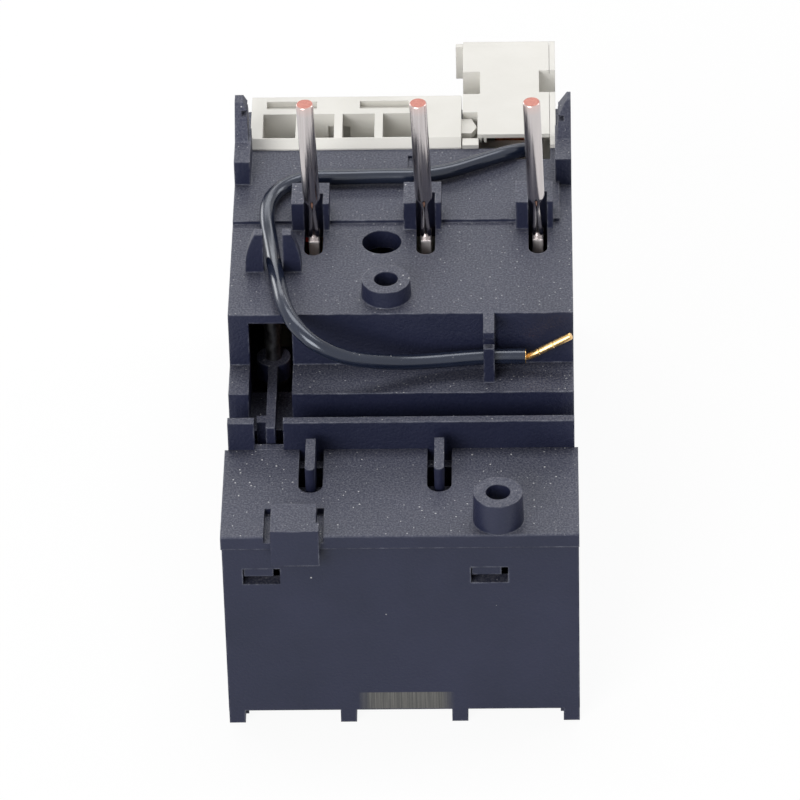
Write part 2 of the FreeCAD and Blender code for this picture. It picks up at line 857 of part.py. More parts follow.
def heater_winding(x):
    """Flat heating strip wound round its bimetal, turn by turn."""
    pitch = (heater_top - heater_bottom - heater_band) / (heater_turns - 1)
    middle = bimetal_start + bimetal_width / 2
    outer_x = heater_width / 2
    outer_y = heater_depth / 2
    inner_x = bimetal_thickness / 2 + fit_gap
    inner_y = bimetal_width / 2 + fit_gap
    turns = []
    for n in range(heater_turns):
        low = heater_bottom + n * pitch
        band = box(x - outer_x, x + outer_x, middle - outer_y, middle + outer_y, low, low + heater_band)
        band = band.cut(box(x - inner_x, x + inner_x, middle - inner_y, middle + inner_y, low, low + heater_band))
        turns.append(band)
        if n:
            side = 1 if n % 2 else -1
            near = x + side * inner_x
            far = x + side * outer_x
            turns.append(box(min(near, far), max(near, far), middle - 1, middle + 1, low - pitch + heater_band, low))
    return fuse(*turns)


def load_strip(x, bay):
    """Strip from the bimetal's foot to the screw plate in its terminal bay."""
    low = heat_chamber_floor
    half = load_strip_width / 2
    wide = terminal_width / 2
    end = terminal_start + strip_thickness
    base = prism_z([
        (x - half, bimetal_start),
        (x + half, bimetal_start),
        (x + half, strip_bend_start),
        (bay + wide, strip_bend_end),
        (bay + wide, end),
        (bay - wide, end),
        (bay - wide, strip_bend_end),
        (x - half, strip_bend_start),
    ], low, low + strip_thickness)
    plate = box(bay - wide, bay + wide, terminal_start, end, low, terminal_top)
    strip = fuse(base, plate)
    return strip.cut(small_rod_y(bay, load_screw_height, terminal_start, end, load_screw_thread + screw_play))


def screw(x, z, tip, seat, thread, head, head_height, slot):
    """Cylinder-head screw along Y with a cross recess."""
    body = small_rod_y(x, z, tip, seat, thread).fuse(small_rod_y(x, z, seat, seat + head_height, head))
    reach = head * 0.36
    top = seat + head_height
    body = body.cut(box(x - slot / 2, x + slot / 2, top - head_height / 2, top, z - reach, z + reach))
    return body.cut(box(x - reach, x + reach, top - head_height / 2, top, z - slot / 2, z + slot / 2))


def square_clamp(x, z, start, thickness, side, bore):
    plate = box(x - side / 2, x + side / 2, start, start + thickness, z - side / 2, z + side / 2)
    return plate.cut(small_rod_y(x, z, start, start + thickness, bore))


def fixed_contact(strip_x, facing, high, window):
    """Strip with its contact rivet, riser and screw tab under one window."""
    level = contact_high if high else contact_low
    riser = high_riser_end if high else low_riser_end
    x0 = strip_x
    x1 = strip_x + fixed_thickness
    start = contact_y - 1.2
    low = level - fixed_arm / 2
    profile = [
        (start, low),
        (riser, low),
        (riser, aux_strip_height + aux_arm),
        (riser - riser_width, aux_strip_height + aux_arm),
        (riser - riser_width, low + fixed_arm),
        (start, low + fixed_arm),
    ]
    strip = prism_x(profile, x0, x1)
    rivet_x = x1 if facing > 0 else x0 - contact_rivet
    strip = strip.fuse(small_rod_x(contact_y, level, rivet_x, rivet_x + contact_rivet, rivet_diameter))
    middle = (window[0] + window[1]) / 2
    half = aux_tab_width / 2
    tab = box(middle - half, middle + half, low_riser_end - aux_tab_thickness, low_riser_end,
              aux_strip_height, aux_screw_height + aux_tab_height / 2)
    tab = tab.cut(small_rod_y(middle, aux_screw_height, low_riser_end - aux_tab_thickness, low_riser_end,
                              aux_screw_thread + screw_play))
    pieces = [strip, tab]
    if high:
        jog_start = riser - 0.8
        pieces.append(box(x0, middle + 0.5, jog_start, riser, aux_strip_height, aux_strip_height + aux_arm))
        pieces.append(box(middle - 0.5, middle + 0.5, jog_start, low_riser_end, aux_strip_height,
                          aux_strip_height + aux_arm))
    return fuse(*pieces)


def contact_carrier():
    """Slider that carries both moving bridges and the lever's lug."""
    end = carrier_start + carrier_bar
    top = carrier_bottom + carrier_height
    bar = box(carrier_left, carrier_right, carrier_start, end, carrier_bottom, top)
    lug_right = lever_x - lever_thickness / 2 - running_gap
    lug = box(carrier_left, lug_right, carrier_start + 0.4, end - 0.2, top, lever_bottom + lever_height + 0.3)
    posts = []
    for x in (no_post, nc_post - post_width):
        posts.append(box(x, x + post_width, end, end + post_reach, post_bottom, post_top))
    return fuse(bar, lug, *posts)


def moving_bridge(post_face, facing):
    x0 = post_face if facing > 0 else post_face - contact_thickness
    y0 = contact_y - 1.5
    bridge = box(x0, x0 + contact_thickness, y0, y0 + 3.0, carrier_bottom, carrier_bottom + carrier_height)
    rivet_x = x0 + contact_thickness if facing > 0 else x0 - contact_rivet
    for level in (contact_low, contact_high):
        bridge = bridge.fuse(small_rod_x(contact_y, level, rivet_x, rivet_x + contact_rivet, rivet_diameter))
    return bridge


def trip_flag():
    """Indicator arm that reaches the window in the front cover."""
    left = flag_x
    right = flag_x + flag_width
    start = carrier_start + 0.5
    arm = box(left, right, start, front_depth - 0.6, flag_bottom, flag_bottom + flag_height)
    leg = box(left, right, start, carrier_start + carrier_bar, carrier_bottom + carrier_height, flag_bottom)
    return fuse(arm, leg)


def trip_lever():
    """Two-armed lever: the slide pushes its rear finger, its front end moves the carrier."""
    half = lever_thickness / 2
    top = lever_bottom + lever_height
    arm = box(lever_x - half, lever_x + half, lever_start, lever_end, lever_bottom, top)
    hub = rod_z(lever_x, lever_pivot, lever_bottom, top, hub_diameter)
    finger_left = -slide_reach + tail_width + running_gap
    finger = box(finger_left, lever_x + half, finger_start, finger_end, finger_bottom, top)
    bore = rod_z(lever_x, lever_pivot, lever_bottom, top, pivot_diameter + 2 * fit_gap)
    return fuse(arm, hub, finger).cut(bore)


def lever_pivot_pin():
    pin = rod_z(lever_x, lever_pivot, mechanism_floor, mechanism_roof, pivot_diameter)
    collar = small_rod_z(lever_x, lever_pivot, lever_bottom - running_gap - 1.2, lever_bottom - running_gap,
                         pivot_diameter + 1.6)
    return fuse(pin, collar)


def slide_fin(x, profile):
    half = fin_thickness / 2
    fin = prism_x(profile, x - half, x + half)
    tall = [e for e in fin.Edges if e.BoundBox.ZLength > 4 and e.BoundBox.YMin < fin_end]
    return fin.makeFillet(half * 0.9, tall)


def push_slide():
    """Slide that the bimetals push, with one fin through the ledge cap."""
    top = slide_bottom + slide_height
    left = -slide_reach
    right = poles[-1] + bimetal_thickness / 2 + running_gap + slide_finger
    bar = box(left, right, push_bar_start, push_bar_start + slide_bar, slide_bottom, top)
    pieces = [bar]
    for x in poles:
        near = x + bimetal_thickness / 2 + running_gap
        pieces.append(box(near, near + slide_finger, push_bar_start + slide_bar, bimetal_start + bimetal_width,
                          slide_bottom, top))
    pieces.append(box(left, left + tail_width, push_bar_start + slide_bar, tail_end, slide_bottom, top))
    low = bimetal_top + 0.4
    pieces.append(slide_fin(fin_places[0], [
        (push_bar_start, top),
        (push_bar_start + slide_bar, top),
        (push_bar_start + slide_bar, low),
        (fin_end, low),
        (fin_end, fin_top),
        (fin_start, fin_top),
        (fin_start, low + 1.1),
        (push_bar_start, low + 1.1),
    ]))
    return fuse(*pieces)


def pull_slide():
    """Slide that a cold bimetal holds back, with the second fin."""
    top = slide_bottom + slide_height
    left = tail_right + running_gap
    right = poles[-1] + bimetal_thickness / 2 + running_gap + slide_finger
    end = pull_bar_start + slide_bar
    pieces = [box(left, right, pull_bar_start, end, slide_bottom, top)]
    for x in poles:
        near = x - bimetal_thickness / 2 - running_gap
        pieces.append(box(near - slide_finger, near, bimetal_start, pull_bar_start, slide_bottom, top))
    low = bimetal_top + 0.4
    pieces.append(slide_fin(fin_places[1], [
        (pull_bar_start, top),
        (end, top),
        (end, low),
        (fin_end, low),
        (fin_end, fin_top),
        (fin_start, fin_top),
        (fin_start, low),
        (pull_bar_start, low),
    ]))
    return fuse(*pieces)


def mechanism_plate():
    """Bearing plate for the dial shaft and the button stems."""
    half = inner_half - running_gap
    plate = box(-half, half, plate_start, plate_start + plate_thickness, mechanism_floor + 0.1,
                mechanism_front_roof - 0.2)
    end = plate_start + plate_thickness
    plate = plate.cut(rod_y(dial_x, control_height, plate_start, end, dial_shaft + 2 * fit_gap))
    for x in (reset_x, stop_x):
        plate = plate.cut(rod_y(x, control_height, plate_start, end, button_stem + 2 * fit_gap))
    return plate.cut(box(flag_x - carrier_travel - running_gap, flag_x + flag_width + running_gap, plate_start, end,
                         flag_bottom - running_gap, flag_bottom + flag_height + running_gap))


def setting_dial():
    """Setting knob with a screwdriver slot, on its cam shaft."""
    back = dial_front - dial_thickness
    knob = rod_y(dial_x, control_height, back, dial_front, dial_diameter)
    knob = knob.cut(box(dial_x - 0.7, dial_x + 0.7, dial_front - 1.2, dial_front, control_height - 3.4,
                        control_height + 3.4))
    return fuse(knob, rod_y(dial_x, control_height, cam_start - 1, back, dial_shaft))


def dial_cam():
    end = cam_start + cam_thickness
    cam = rod_y(dial_x + cam_offset, control_height, cam_start, end, cam_diameter)
    return cam.cut(rod_y(dial_x, control_height, cam_start, end, dial_shaft + 2 * fit_gap))


def push_button(x):
    cap = rod_y(x, control_height, button_back, button_front, button_diameter)
    cap = cap.makeChamfer(button_edge, [e for e in cap.Edges if e.BoundBox.YMin > button_front - 0.01])
    return fuse(cap, rod_y(x, control_height, stem_end, button_back, button_stem))


def regular_polygon(radius, sides, centre, normal):
    """Closed polygon across a bar that runs along the normal."""
    side = normal.cross(V(0, 0, 1)).normalize()
    up = side.cross(normal).normalize()
    angles = [2 * math.pi * n / sides for n in range(sides)]
    points = [centre + side * (radius * math.cos(t)) + up * (radius * math.sin(t)) for t in angles]
    return Part.makePolygon(points + points[:1])


def return_spring(x):
    """Coil between the bearing plate and the button's shoulder."""
    start = plate_start + plate_thickness + fit_gap + spring_wire / 2
    height = button_back - fit_gap - spring_wire / 2 - start
    steps = spring_turns * spring_facet_count
    points = []
    for n in range(steps + 1):
        angle = 2 * math.pi * n / spring_facet_count
        points.append(V(x + spring_radius * math.cos(angle), start + height * n / steps,
                        control_height + spring_radius * math.sin(angle)))
    section = Part.Wire(regular_polygon(spring_wire / 2, spring_side_count, points[0], points[1] - points[0]))
    return Part.makePolygon(points).makePipeShell([section], True, False, 1)


def reset_selector():
    """Ring round the reset button, turned to choose manual or automatic reset."""
    inside = front_depth - front_wall
    flange = ring_y(reset_x, control_height, inside - 1.0, inside - 0.3, selector_flange, selector_bore)
    ring = ring_y(reset_x, control_height, inside - 0.3, selector_front, selector_outer, selector_bore)
    selector = fuse(flange, ring)
    mark = box(reset_x - 0.3, reset_x + 0.3, selector_front - 0.3, selector_front + 1,
               control_height + selector_bore / 2 - 0.5, control_height + selector_outer / 2 + 0.5)
    return selector.cut(mark)


def coil_terminal_strip():
    """Strip with the crimp for the coil lead and the screw tab."""
    floor = coil_room_floor
    end = coil_room_end - coil_tab_setback
    start = coil_room_start - 1.6
    crimp_x, crimp_y, crimp_z = lead_route[0]
    base = box(coil_screw_x - 2, coil_screw_x + 2, start + 1.8, end, floor, floor + coil_plate)
    tab = box(coil_screw_x - coil_tab_half, coil_screw_x + coil_tab_half, end - coil_plate, end, floor,
              coil_screw_height + 3.2)
    tab = tab.cut(small_rod_y(coil_screw_x, coil_screw_height, end - coil_plate, end, coil_screw_thread + screw_play))
    riser = box(coil_screw_x - 2, coil_screw_x + 2, start + 1.8, start + 1.8 + coil_plate, floor, crimp_z + 0.4)
    bridge = box(coil_screw_x - 2, coil_room_right - fit_gap, start + 0.6, start + 1.8 + coil_plate, crimp_z - 0.4,
                 crimp_z + 0.4)
    barrel = rod_y(crimp_x, crimp_z, crimp_y, start + 1.4, wire_diameter + 0.6)
    return fuse(base, tab, riser, bridge, barrel)


def set_screw(x, y, boss_top):
    """Headless screw, deep in the bore of its boss."""
    top = boss_top - set_screw_depth
    body = small_rod_z(x, y, top - set_screw_length, top, boss_bore - 2 * fit_gap)
    return body.cut(box(x - 2, x + 2, y - 0.3, y + 0.3, top - 0.9, top))


def rounded_path(points):
    """Straight runs joined by tangent arcs that are as large as both runs allow."""
    route = [V(*p) for p in points]
    edges = []
    radii = []
    start = route[0]
    for before, corner, after in zip(route, route[1:], route[2:]):
        back = before - corner
        ahead = after - corner
        turn = math.pi - back.getAngle(ahead)
        reach = 0.45 * min(back.Length, ahead.Length)
        radii.append(reach / math.tan(turn / 2))
        back.normalize()
        ahead.normalize()
        first = corner + back * reach
        last = corner + ahead * reach
        bisector = back + ahead
        bisector.normalize()
        to_centre = radii[-1] / math.cos(turn / 2)
        middle = corner + bisector * (to_centre - radii[-1])
        edges.append(Part.LineSegment(start, first).toShape())
        edges.append(Part.Arc(first, middle, last).toShape())
        start = last
    edges.append(Part.LineSegment(start, route[-1]).toShape())
    return Part.Wire(edges), radii


def lead_wire():
    path, radii = rounded_path(lead_route)
    direction = V(*lead_route[1]) - V(*lead_route[0])
    radius = wire_diameter / 2 * math.sqrt(2 * math.pi / lead_side_count / math.sin(2 * math.pi / lead_side_count))
    section = regular_polygon(radius, lead_side_count, V(*lead_route[0]), direction)
    tube = path.makePipe(Part.Face(section))
    print("lead length", round(path.Length, 1), "radii", [round(r, 1) for r in radii])
    print("lead volume ratio", round(tube.Volume / (math.pi * wire_diameter ** 2 / 4 * path.Length), 4))
    return tube


def brass_pin():
    """Thin ferrule on the wire's end and the turned pin that rises from it."""
    x, y, z = lead_route[-1]
    radius = brass_pin_diameter / 2
    outline = [
        (0, 0),
        (radius * 0.5, 0),
        (radius, brass_pin_taper),
        (radius, brass_pin_length - brass_pin_chamfer),
        (radius - brass_pin_chamfer, brass_pin_length),
        (0, brass_pin_length),
    ]
    face = Part.Face(Part.makePolygon([V(r, 0, height) for r, height in outline + outline[:1]]))
    pin = face.revolve(V(0, 0, 0), V(0, 0, 1), 360)
    pin.rotate(V(0, 0, 0), V(0, 1, 0), 90 - brass_pin_rise)
    pin.translate(V(x + 0.1, y, z - brass_pin_drop))
    ferrule = rod_x(y, z, x, x + ferrule_length, wire_diameter - 0.1)
    neck = rod_x(y, z - brass_pin_drop, x, x + 0.6, radius)
    return fuse(ferrule, neck, pin)


def export_all():
    upper, base = housing_halves()
    panel, frame = front_halves()
    nodes = {
        "main_housing": upper,
        "housing_base": base,
        "rear_cover": rear_cover(),
        "ledge_cover": ledge_cover(),
        "front_cover": panel,
        "front_frame": frame,
        "aux_terminal_frame": aux_terminal_frame(),
        "coil_terminal_block": coil_terminal_block(),
        "coil_terminal_cover": coil_terminal_cover(),
        "push_slide": push_slide(),
        "pull_slide": pull_slide(),
        "trip_lever": trip_lever(),
        "lever_pivot_pin": lever_pivot_pin(),
        "contact_carrier": contact_carrier(),
        "trip_flag": trip_flag(),
        "no_moving_bridge": moving_bridge(no_post, -1),
        "nc_moving_bridge": moving_bridge(nc_post, 1),
        "mechanism_plate": mechanism_plate(),
        "setting_dial": setting_dial(),
        "dial_cam": dial_cam(),
        "reset_button": push_button(reset_x),
        "stop_button": push_button(stop_x),
        "reset_spring": return_spring(reset_x),
        "stop_spring": return_spring(stop_x),
        "reset_selector": reset_selector(),
        "coil_terminal_strip": coil_terminal_strip(),
        "lead_wire": lead_wire(),
        "brass_pin": brass_pin(),
    }
    for n, (x, bay) in enumerate(zip(poles, bays), 1):
        nodes[f"line_pin_{n}"] = line_pin(x)
        nodes[f"line_strip_{n}"] = line_strip(x)
        nodes[f"bimetal_{n}"] = bimetal(x)
        nodes[f"heater_winding_{n}"] = heater_winding(x)
        nodes[f"load_strip_{n}"] = load_strip(x, bay)
    no_face = no_post - contact_thickness - contact_rivet
    no_strip = no_face - contact_open_gap - contact_rivet - fixed_thickness
    nc_strip = nc_post + contact_thickness + contact_rivet + contact_closed_gap + contact_rivet
    nodes["no_contact_low"] = fixed_contact(no_strip, 1, False, windows[0])
    nodes["no_contact_high"] = fixed_contact(no_strip, 1, True, windows[1])
    nodes["nc_contact_low"] = fixed_contact(nc_strip, -1, False, windows[2])
    nodes["nc_contact_high"] = fixed_contact(nc_strip, -1, True, windows[3])

    seat = terminal_start + strip_thickness + running_gap
    clamps = [square_clamp(x, load_screw_height, seat, strip_thickness, load_clamp, load_screw_thread + clamp_play)
              for x in bays]
    nodes["load_terminal_clamps"] = Part.makeCompound(clamps)
    seat += strip_thickness
    nodes["load_terminal_screws"] = Part.makeCompound([
        screw(x, load_screw_height, terminal_start - load_screw_reach, seat, load_screw_thread, load_screw_head,
              load_head_height, load_head_slot)
        for x in bays])
    middles = [(x0 + x1) / 2 for x0, x1 in windows]
    nodes["aux_terminal_clamps"] = Part.makeCompound([
        square_clamp(x, aux_screw_height, aux_clamp_start, aux_clamp_thickness, aux_clamp,
                     aux_screw_thread + clamp_play)
        for x in middles])
    seat = aux_clamp_start + aux_clamp_thickness
    nodes["aux_terminal_screws"] = Part.makeCompound([
        screw(x, aux_screw_height, low_riser_end - aux_screw_reach, seat, aux_screw_thread, aux_screw_head,
              aux_head_height, aux_head_slot)
        for x in middles])
    tab_end = coil_room_end - coil_tab_setback
    seat = tab_end + running_gap + coil_clamp_thickness
    nodes["coil_terminal_clamp"] = square_clamp(coil_screw_x, coil_screw_height, tab_end + running_gap,
                                                coil_clamp_thickness, coil_clamp, coil_screw_thread + clamp_play)
    nodes["coil_terminal_screw"] = screw(coil_screw_x, coil_screw_height, tab_end - coil_screw_reach, seat,
                                         coil_screw_thread, coil_screw_head, coil_head_height, coil_head_slot)
    nodes["calibration_screws"] = Part.makeCompound([
        set_screw(deck_boss_x, deck_boss_y, deck_top + deck_boss_height),
        set_screw(rear_boss_x, rear_boss_y, ledge_top + rear_boss_height)])

    cord = ("lead_wire", "brass_pin")
    held = Part.makeCompound([shape for name, shape in nodes.items() if name not in cord])
    bounds = held.BoundBox
    shift = V(-(bounds.XMin + bounds.XMax) / 2, -(bounds.YMin + bounds.YMax) / 2, -bounds.ZMin)
    print("origin shift", [round(v, 4) for v in shift], "size", [round(v, 2) for v in
          (bounds.XLength, bounds.YLength, bounds.ZLength)])
    os.makedirs("parts", exist_ok=True)
    for name, shape in nodes.items():
        shape.translate(shift)
        if not shape.isValid() or shape.Volume <= 0:
            print("INVALID", name)
        shape.exportStep(f"parts/{name}.step")
    print(len(nodes), "nodes,", sum(len(s.Solids) for s in nodes.values()), "solids")


export_all()
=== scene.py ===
import json
import math

import bpy
from mathutils import Matrix, Vector


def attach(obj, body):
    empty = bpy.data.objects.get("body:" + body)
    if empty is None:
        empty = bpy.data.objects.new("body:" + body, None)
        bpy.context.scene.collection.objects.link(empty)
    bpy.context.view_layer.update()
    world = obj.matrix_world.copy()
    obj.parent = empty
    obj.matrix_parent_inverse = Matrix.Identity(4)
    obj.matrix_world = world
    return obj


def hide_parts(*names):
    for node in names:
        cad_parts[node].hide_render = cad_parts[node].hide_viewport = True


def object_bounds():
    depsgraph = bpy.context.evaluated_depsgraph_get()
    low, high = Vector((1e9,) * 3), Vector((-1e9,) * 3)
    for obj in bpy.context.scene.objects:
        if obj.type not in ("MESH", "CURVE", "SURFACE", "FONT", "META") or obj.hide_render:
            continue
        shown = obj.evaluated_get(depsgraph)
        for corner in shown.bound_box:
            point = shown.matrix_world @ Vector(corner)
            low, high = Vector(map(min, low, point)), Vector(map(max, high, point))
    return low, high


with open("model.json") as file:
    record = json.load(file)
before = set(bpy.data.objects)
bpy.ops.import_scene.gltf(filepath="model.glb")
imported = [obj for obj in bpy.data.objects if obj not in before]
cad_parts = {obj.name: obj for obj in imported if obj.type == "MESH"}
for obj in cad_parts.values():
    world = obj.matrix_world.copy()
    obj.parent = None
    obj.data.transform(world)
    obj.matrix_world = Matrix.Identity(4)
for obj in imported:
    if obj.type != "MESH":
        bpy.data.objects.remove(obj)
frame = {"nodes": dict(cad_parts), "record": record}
cadLow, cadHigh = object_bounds()
print("frame loaded:", len(frame["nodes"]), "pieces")


# ---- camera, light and floor

cameraView = {
    "target": (0.0, -0.0027, 0.025),
    "distance": 0.85,
    "pitch": 37.0,  # degrees below the horizon
    "yaw": -1.595,
    "roll": -1.485,
    "lens": 291.9,
    "shift": (-0.0057, -0.0271),
    "clipStart": 0.05,
}


def addCamera(view):
    pitch = math.radians(view["pitch"])
    yaw = math.radians(view["yaw"])
    roll = math.radians(view["roll"])
    forward = Vector((
        math.sin(yaw) * math.cos(pitch), math.cos(yaw) * math.cos(pitch), -math.sin(pitch)))
    level = Vector((math.cos(yaw), -math.sin(yaw), 0))
    rise = level.cross(forward)
    right = level * math.cos(roll) + rise * math.sin(roll)
    up = rise * math.cos(roll) - level * math.sin(roll)
    camera = bpy.data.objects.new("viewCamera", bpy.data.cameras.new("viewCamera"))
    bpy.context.scene.collection.objects.link(camera)
    turn = Matrix((right, up, -forward)).transposed().to_4x4()
    camera.matrix_world = Matrix.Translation(Vector(view["target"]) - forward * view["distance"]) @ turn
    camera.data.lens = view["lens"]
    camera.data.shift_x, camera.data.shift_y = view["shift"]
    camera.data.clip_start = view["clipStart"]
    bpy.context.scene.camera = camera


studio = {
    "floorSize": 4.0,
    "floorGap": 0.00005,
    "floorTone": (0.9, 0.9, 0.9, 1),
    "floorGlow": 0.93,  # share of plain white in what is seen of the floor
    "worldStrength": 0.25,
    "lamps": (
        # name, place, aim, width, height, watts
        ("backStrip", (0.0, 0.70, 0.56), (0, 0, 0.02), 0.8, 0.12, 1.1),
        ("topSoftbox", (0.0, 0.22, 0.92), (0, 0, 0.02), 0.8, 0.42, 4.6),
        ("frontFill", (-0.45, -0.85, 0.42), (0, 0, 0.02), 0.6, 0.6, 9.0),
        ("leftRim", (-0.62, 0.62, 0.16), (0, 0, 0.04), 0.3, 0.3, 1.2),
        ("rightRim", (0.70, 0.25, 0.40), (0, 0, 0.03), 0.3, 0.3, 1.0),
    ),
}


def whiteToTheEye(nodes, links, surface, background):
    # seen directly or in a reflection the backdrop is white, and it lights the object at its own level
    path = nodes.new("ShaderNodeLightPath")
    glossy = nodes.new("ShaderNodeMath")
    glossy.operation = "MAXIMUM"
    both = nodes.new("ShaderNodeMath")
    both.operation = "MAXIMUM"
    mix = nodes.new("ShaderNodeMixShader")
    links.new(path.outputs["Is Camera Ray"], glossy.inputs[0])
    links.new(path.outputs["Is Glossy Ray"], glossy.inputs[1])
    links.new(glossy.outputs[0], both.inputs[0])
    links.new(path.outputs["Is Transmission Ray"], both.inputs[1])
    links.new(both.outputs[0], mix.inputs[0])
    links.new(surface, mix.inputs[1])
    links.new(background, mix.inputs[2])
    return mix.outputs[0]


def addStudio(values):
    world = bpy.data.worlds.new("studioWorld")
    world.use_nodes = True
    nodes, links = world.node_tree.nodes, world.node_tree.links
    nodes.clear()
    plain = nodes.new("ShaderNodeBackground")
    plain.inputs["Color"].default_value = (1, 1, 1, 1)
    plain.inputs["Strength"].default_value = values["worldStrength"]
    white = nodes.new("ShaderNodeBackground")
    white.inputs["Color"].default_value = (1, 1, 1, 1)
    output = nodes.new("ShaderNodeOutputWorld")
    links.new(whiteToTheEye(nodes, links, plain.outputs[0], white.outputs[0]), output.inputs[0])
    bpy.context.scene.world = world

    for name, place, aim, width, height, watts in values["lamps"]:
        lamp = bpy.data.objects.new(name, bpy.data.lights.new(name, "AREA"))
        bpy.context.scene.collection.objects.link(lamp)
        lamp.data.shape = "RECTANGLE"
        lamp.data.size, lamp.data.size_y = width, height
        lamp.data.energy = watts
        turn = (Vector(aim) - Vector(place)).to_track_quat("-Z", "Y").to_matrix().to_4x4()
        lamp.matrix_world = Matrix.Translation(place) @ turn

    deselectAll()
    floorHeight = cadLow[2] - values["floorGap"]
    bpy.ops.mesh.primitive_plane_add(size=values["floorSize"], location=(0, 0, floorHeight))
    floor = bpy.context.object
    floor.name = "floor"
    material = bpy.data.materials.new("paperFloor")
    material.use_nodes = True
    nodes, links = material.node_tree.nodes, material.node_tree.links
    nodes.clear()
    paper = nodes.new("ShaderNodeBsdfDiffuse")
    paper.inputs["Color"].default_value = values["floorTone"]
    glow = nodes.new("ShaderNodeEmission")
    blend = nodes.new("ShaderNodeMixShader")
    blend.inputs[0].default_value = values["floorGlow"]
    output = nodes.new("ShaderNodeOutputMaterial")
    links.new(paper.outputs[0], blend.inputs[1])
    links.new(glow.outputs[0], blend.inputs[2])
    links.new(whiteToTheEye(nodes, links, paper.outputs[0], blend.outputs[0]), output.inputs[0])
    floor.data.materials.append(material)


def deselectAll():
    if bpy.context.object and bpy.context.object.mode != "OBJECT":
        bpy.ops.object.mode_set(mode="OBJECT")
    bpy.ops.object.select_all(action="DESELECT")


addCamera(cameraView)
addStudio(studio)
bpy.context.scene.view_settings.view_transform = "Standard"
print("camera and studio ready")


# ---- shader groups shared by several finishes

def addNode(nodes, kind, values=None, **settings):
    node = nodes.new(kind)
    for key, value in settings.items():
        setattr(node, key, value)
    for key, value in (values or {}).items():
        node.inputs[key].default_value = value
    return node


def mapValue(nodes, links, value, fromMin, fromMax, toMin, toMax):
    node = addNode(nodes, "ShaderNodeMapRange", {
        "From Min": fromMin, "From Max": fromMax, "To Min": toMin, "To Max": toMax})
    links.new(value, node.inputs["Value"])
    return node.outputs[0]


def multiply(nodes, links, first, second):
    node = nodes.new("ShaderNodeMath")
    node.operation = "MULTIPLY"
    links.new(first, node.inputs[0])
    links.new(second, node.inputs[1])
    return node.outputs[0]


def newGroup(name, inputs, outputs):
    group = bpy.data.node_groups.new(name, "ShaderNodeTree")
    for label, value in inputs.items():
        socket = group.interface.new_socket(name=label, in_out="INPUT", socket_type="NodeSocketFloat")
        socket.default_value = value
    for label, kind in outputs.items():
        group.interface.new_socket(name=label, in_out="OUTPUT", socket_type=kind)
    start = group.nodes.new("NodeGroupInput")
    end = group.nodes.new("NodeGroupOutput")
    return group, start, end


def grainGroup():
    # spark-eroded mould texture: a fine height and a slow change of tone
    group, start, end = newGroup(
        "mouldGrain", {"Grain Scale": 2600.0, "Mottle Scale": 90.0},
        {"Height": "NodeSocketFloat", "Mottle": "NodeSocketFloat"})
    nodes, links = group.nodes, group.links
    place = addNode(nodes, "ShaderNodeTexCoord")
    fine = addNode(nodes, "ShaderNodeTexNoise", {"Detail": 3.0, "Roughness": 0.62})
    cells = addNode(nodes, "ShaderNodeTexVoronoi", {"Randomness": 1.0})
    mix = addNode(nodes, "ShaderNodeMath", {1: 0.45}, operation="MULTIPLY_ADD")
    slow = addNode(nodes, "ShaderNodeTexNoise", {"Detail": 4.0, "Roughness": 0.55})
    for node in (fine, cells, slow):
        links.new(place.outputs["Object"], node.inputs["Vector"])
    links.new(start.outputs["Grain Scale"], fine.inputs["Scale"])
    links.new(start.outputs["Grain Scale"], cells.inputs["Scale"])
    links.new(start.outputs["Mottle Scale"], slow.inputs["Scale"])
    links.new(cells.outputs["Distance"], mix.inputs[0])
    links.new(fine.outputs["Fac"], mix.inputs[2])
    links.new(mix.outputs[0], end.inputs["Height"])
    links.new(slow.outputs["Fac"], end.inputs["Mottle"])
    return group


def dustGroup():
    # pale dust specks on faces turned upwards, few on upright ones, and a thin pale veil on those faces that
    # is partly dust and partly painted top light: it lightens the upward faces the way light falling from
    # above would
    group, start, end = newGroup(
        "dustAndPaintedTopLight", {"Speck Scale": 1500.0, "Share": 0.24, "Speck Size": 0.18, "Film Scale": 3800.0},
        {"Specks": "NodeSocketFloat", "Dust Film And Top Light": "NodeSocketFloat"})
    nodes, links = group.nodes, group.links
    place = addNode(nodes, "ShaderNodeTexCoord")
    face = addNode(nodes, "ShaderNodeNewGeometry")
    split = addNode(nodes, "ShaderNodeSeparateXYZ")
    upward = addNode(nodes, "ShaderNodeMapRange", {
        "From Min": 0.3, "From Max": 0.85, "To Min": 0.01, "To Max": 1.0})
    cells = addNode(nodes, "ShaderNodeTexVoronoi", {"Randomness": 1.0})
    filmAndTopLight = addNode(nodes, "ShaderNodeTexNoise", {"Detail": 3.0, "Roughness": 0.7})
    chance = addNode(nodes, "ShaderNodeSeparateColor")
    few = addNode(nodes, "ShaderNodeMath", operation="LESS_THAN")
    small = addNode(nodes, "ShaderNodeMath", operation="LESS_THAN")
    links.new(place.outputs["Object"], cells.inputs["Vector"])
    links.new(place.outputs["Object"], filmAndTopLight.inputs["Vector"])
    links.new(start.outputs["Speck Scale"], cells.inputs["Scale"])
    links.new(start.outputs["Film Scale"], filmAndTopLight.inputs["Scale"])
    links.new(face.outputs["Normal"], split.inputs[0])
    links.new(split.outputs["Z"], upward.inputs["Value"])
    links.new(cells.outputs["Color"], chance.inputs[0])
    links.new(chance.outputs[0], few.inputs[0])
    links.new(multiply(nodes, links, upward.outputs[0], start.outputs["Share"]), few.inputs[1])
    links.new(cells.outputs["Distance"], small.inputs[0])
    links.new(multiply(nodes, links, chance.outputs[1], start.outputs["Speck Size"]), small.inputs[1])
    bright = mapValue(nodes, links, chance.outputs[2], 0, 1, 0.25, 1)
    specks = multiply(nodes, links, multiply(nodes, links, few.outputs[0], small.outputs[0]), bright)
    links.new(specks, end.inputs["Specks"])
    # painted top light with some dust: a pale veil that lightens the faces turned upwards
    thin = mapValue(nodes, links, filmAndTopLight.outputs["Fac"], 0.42, 0.68, 0.15, 1)
    links.new(multiply(nodes, links, thin, upward.outputs[0]), end.inputs["Dust Film And Top Light"])
    return group


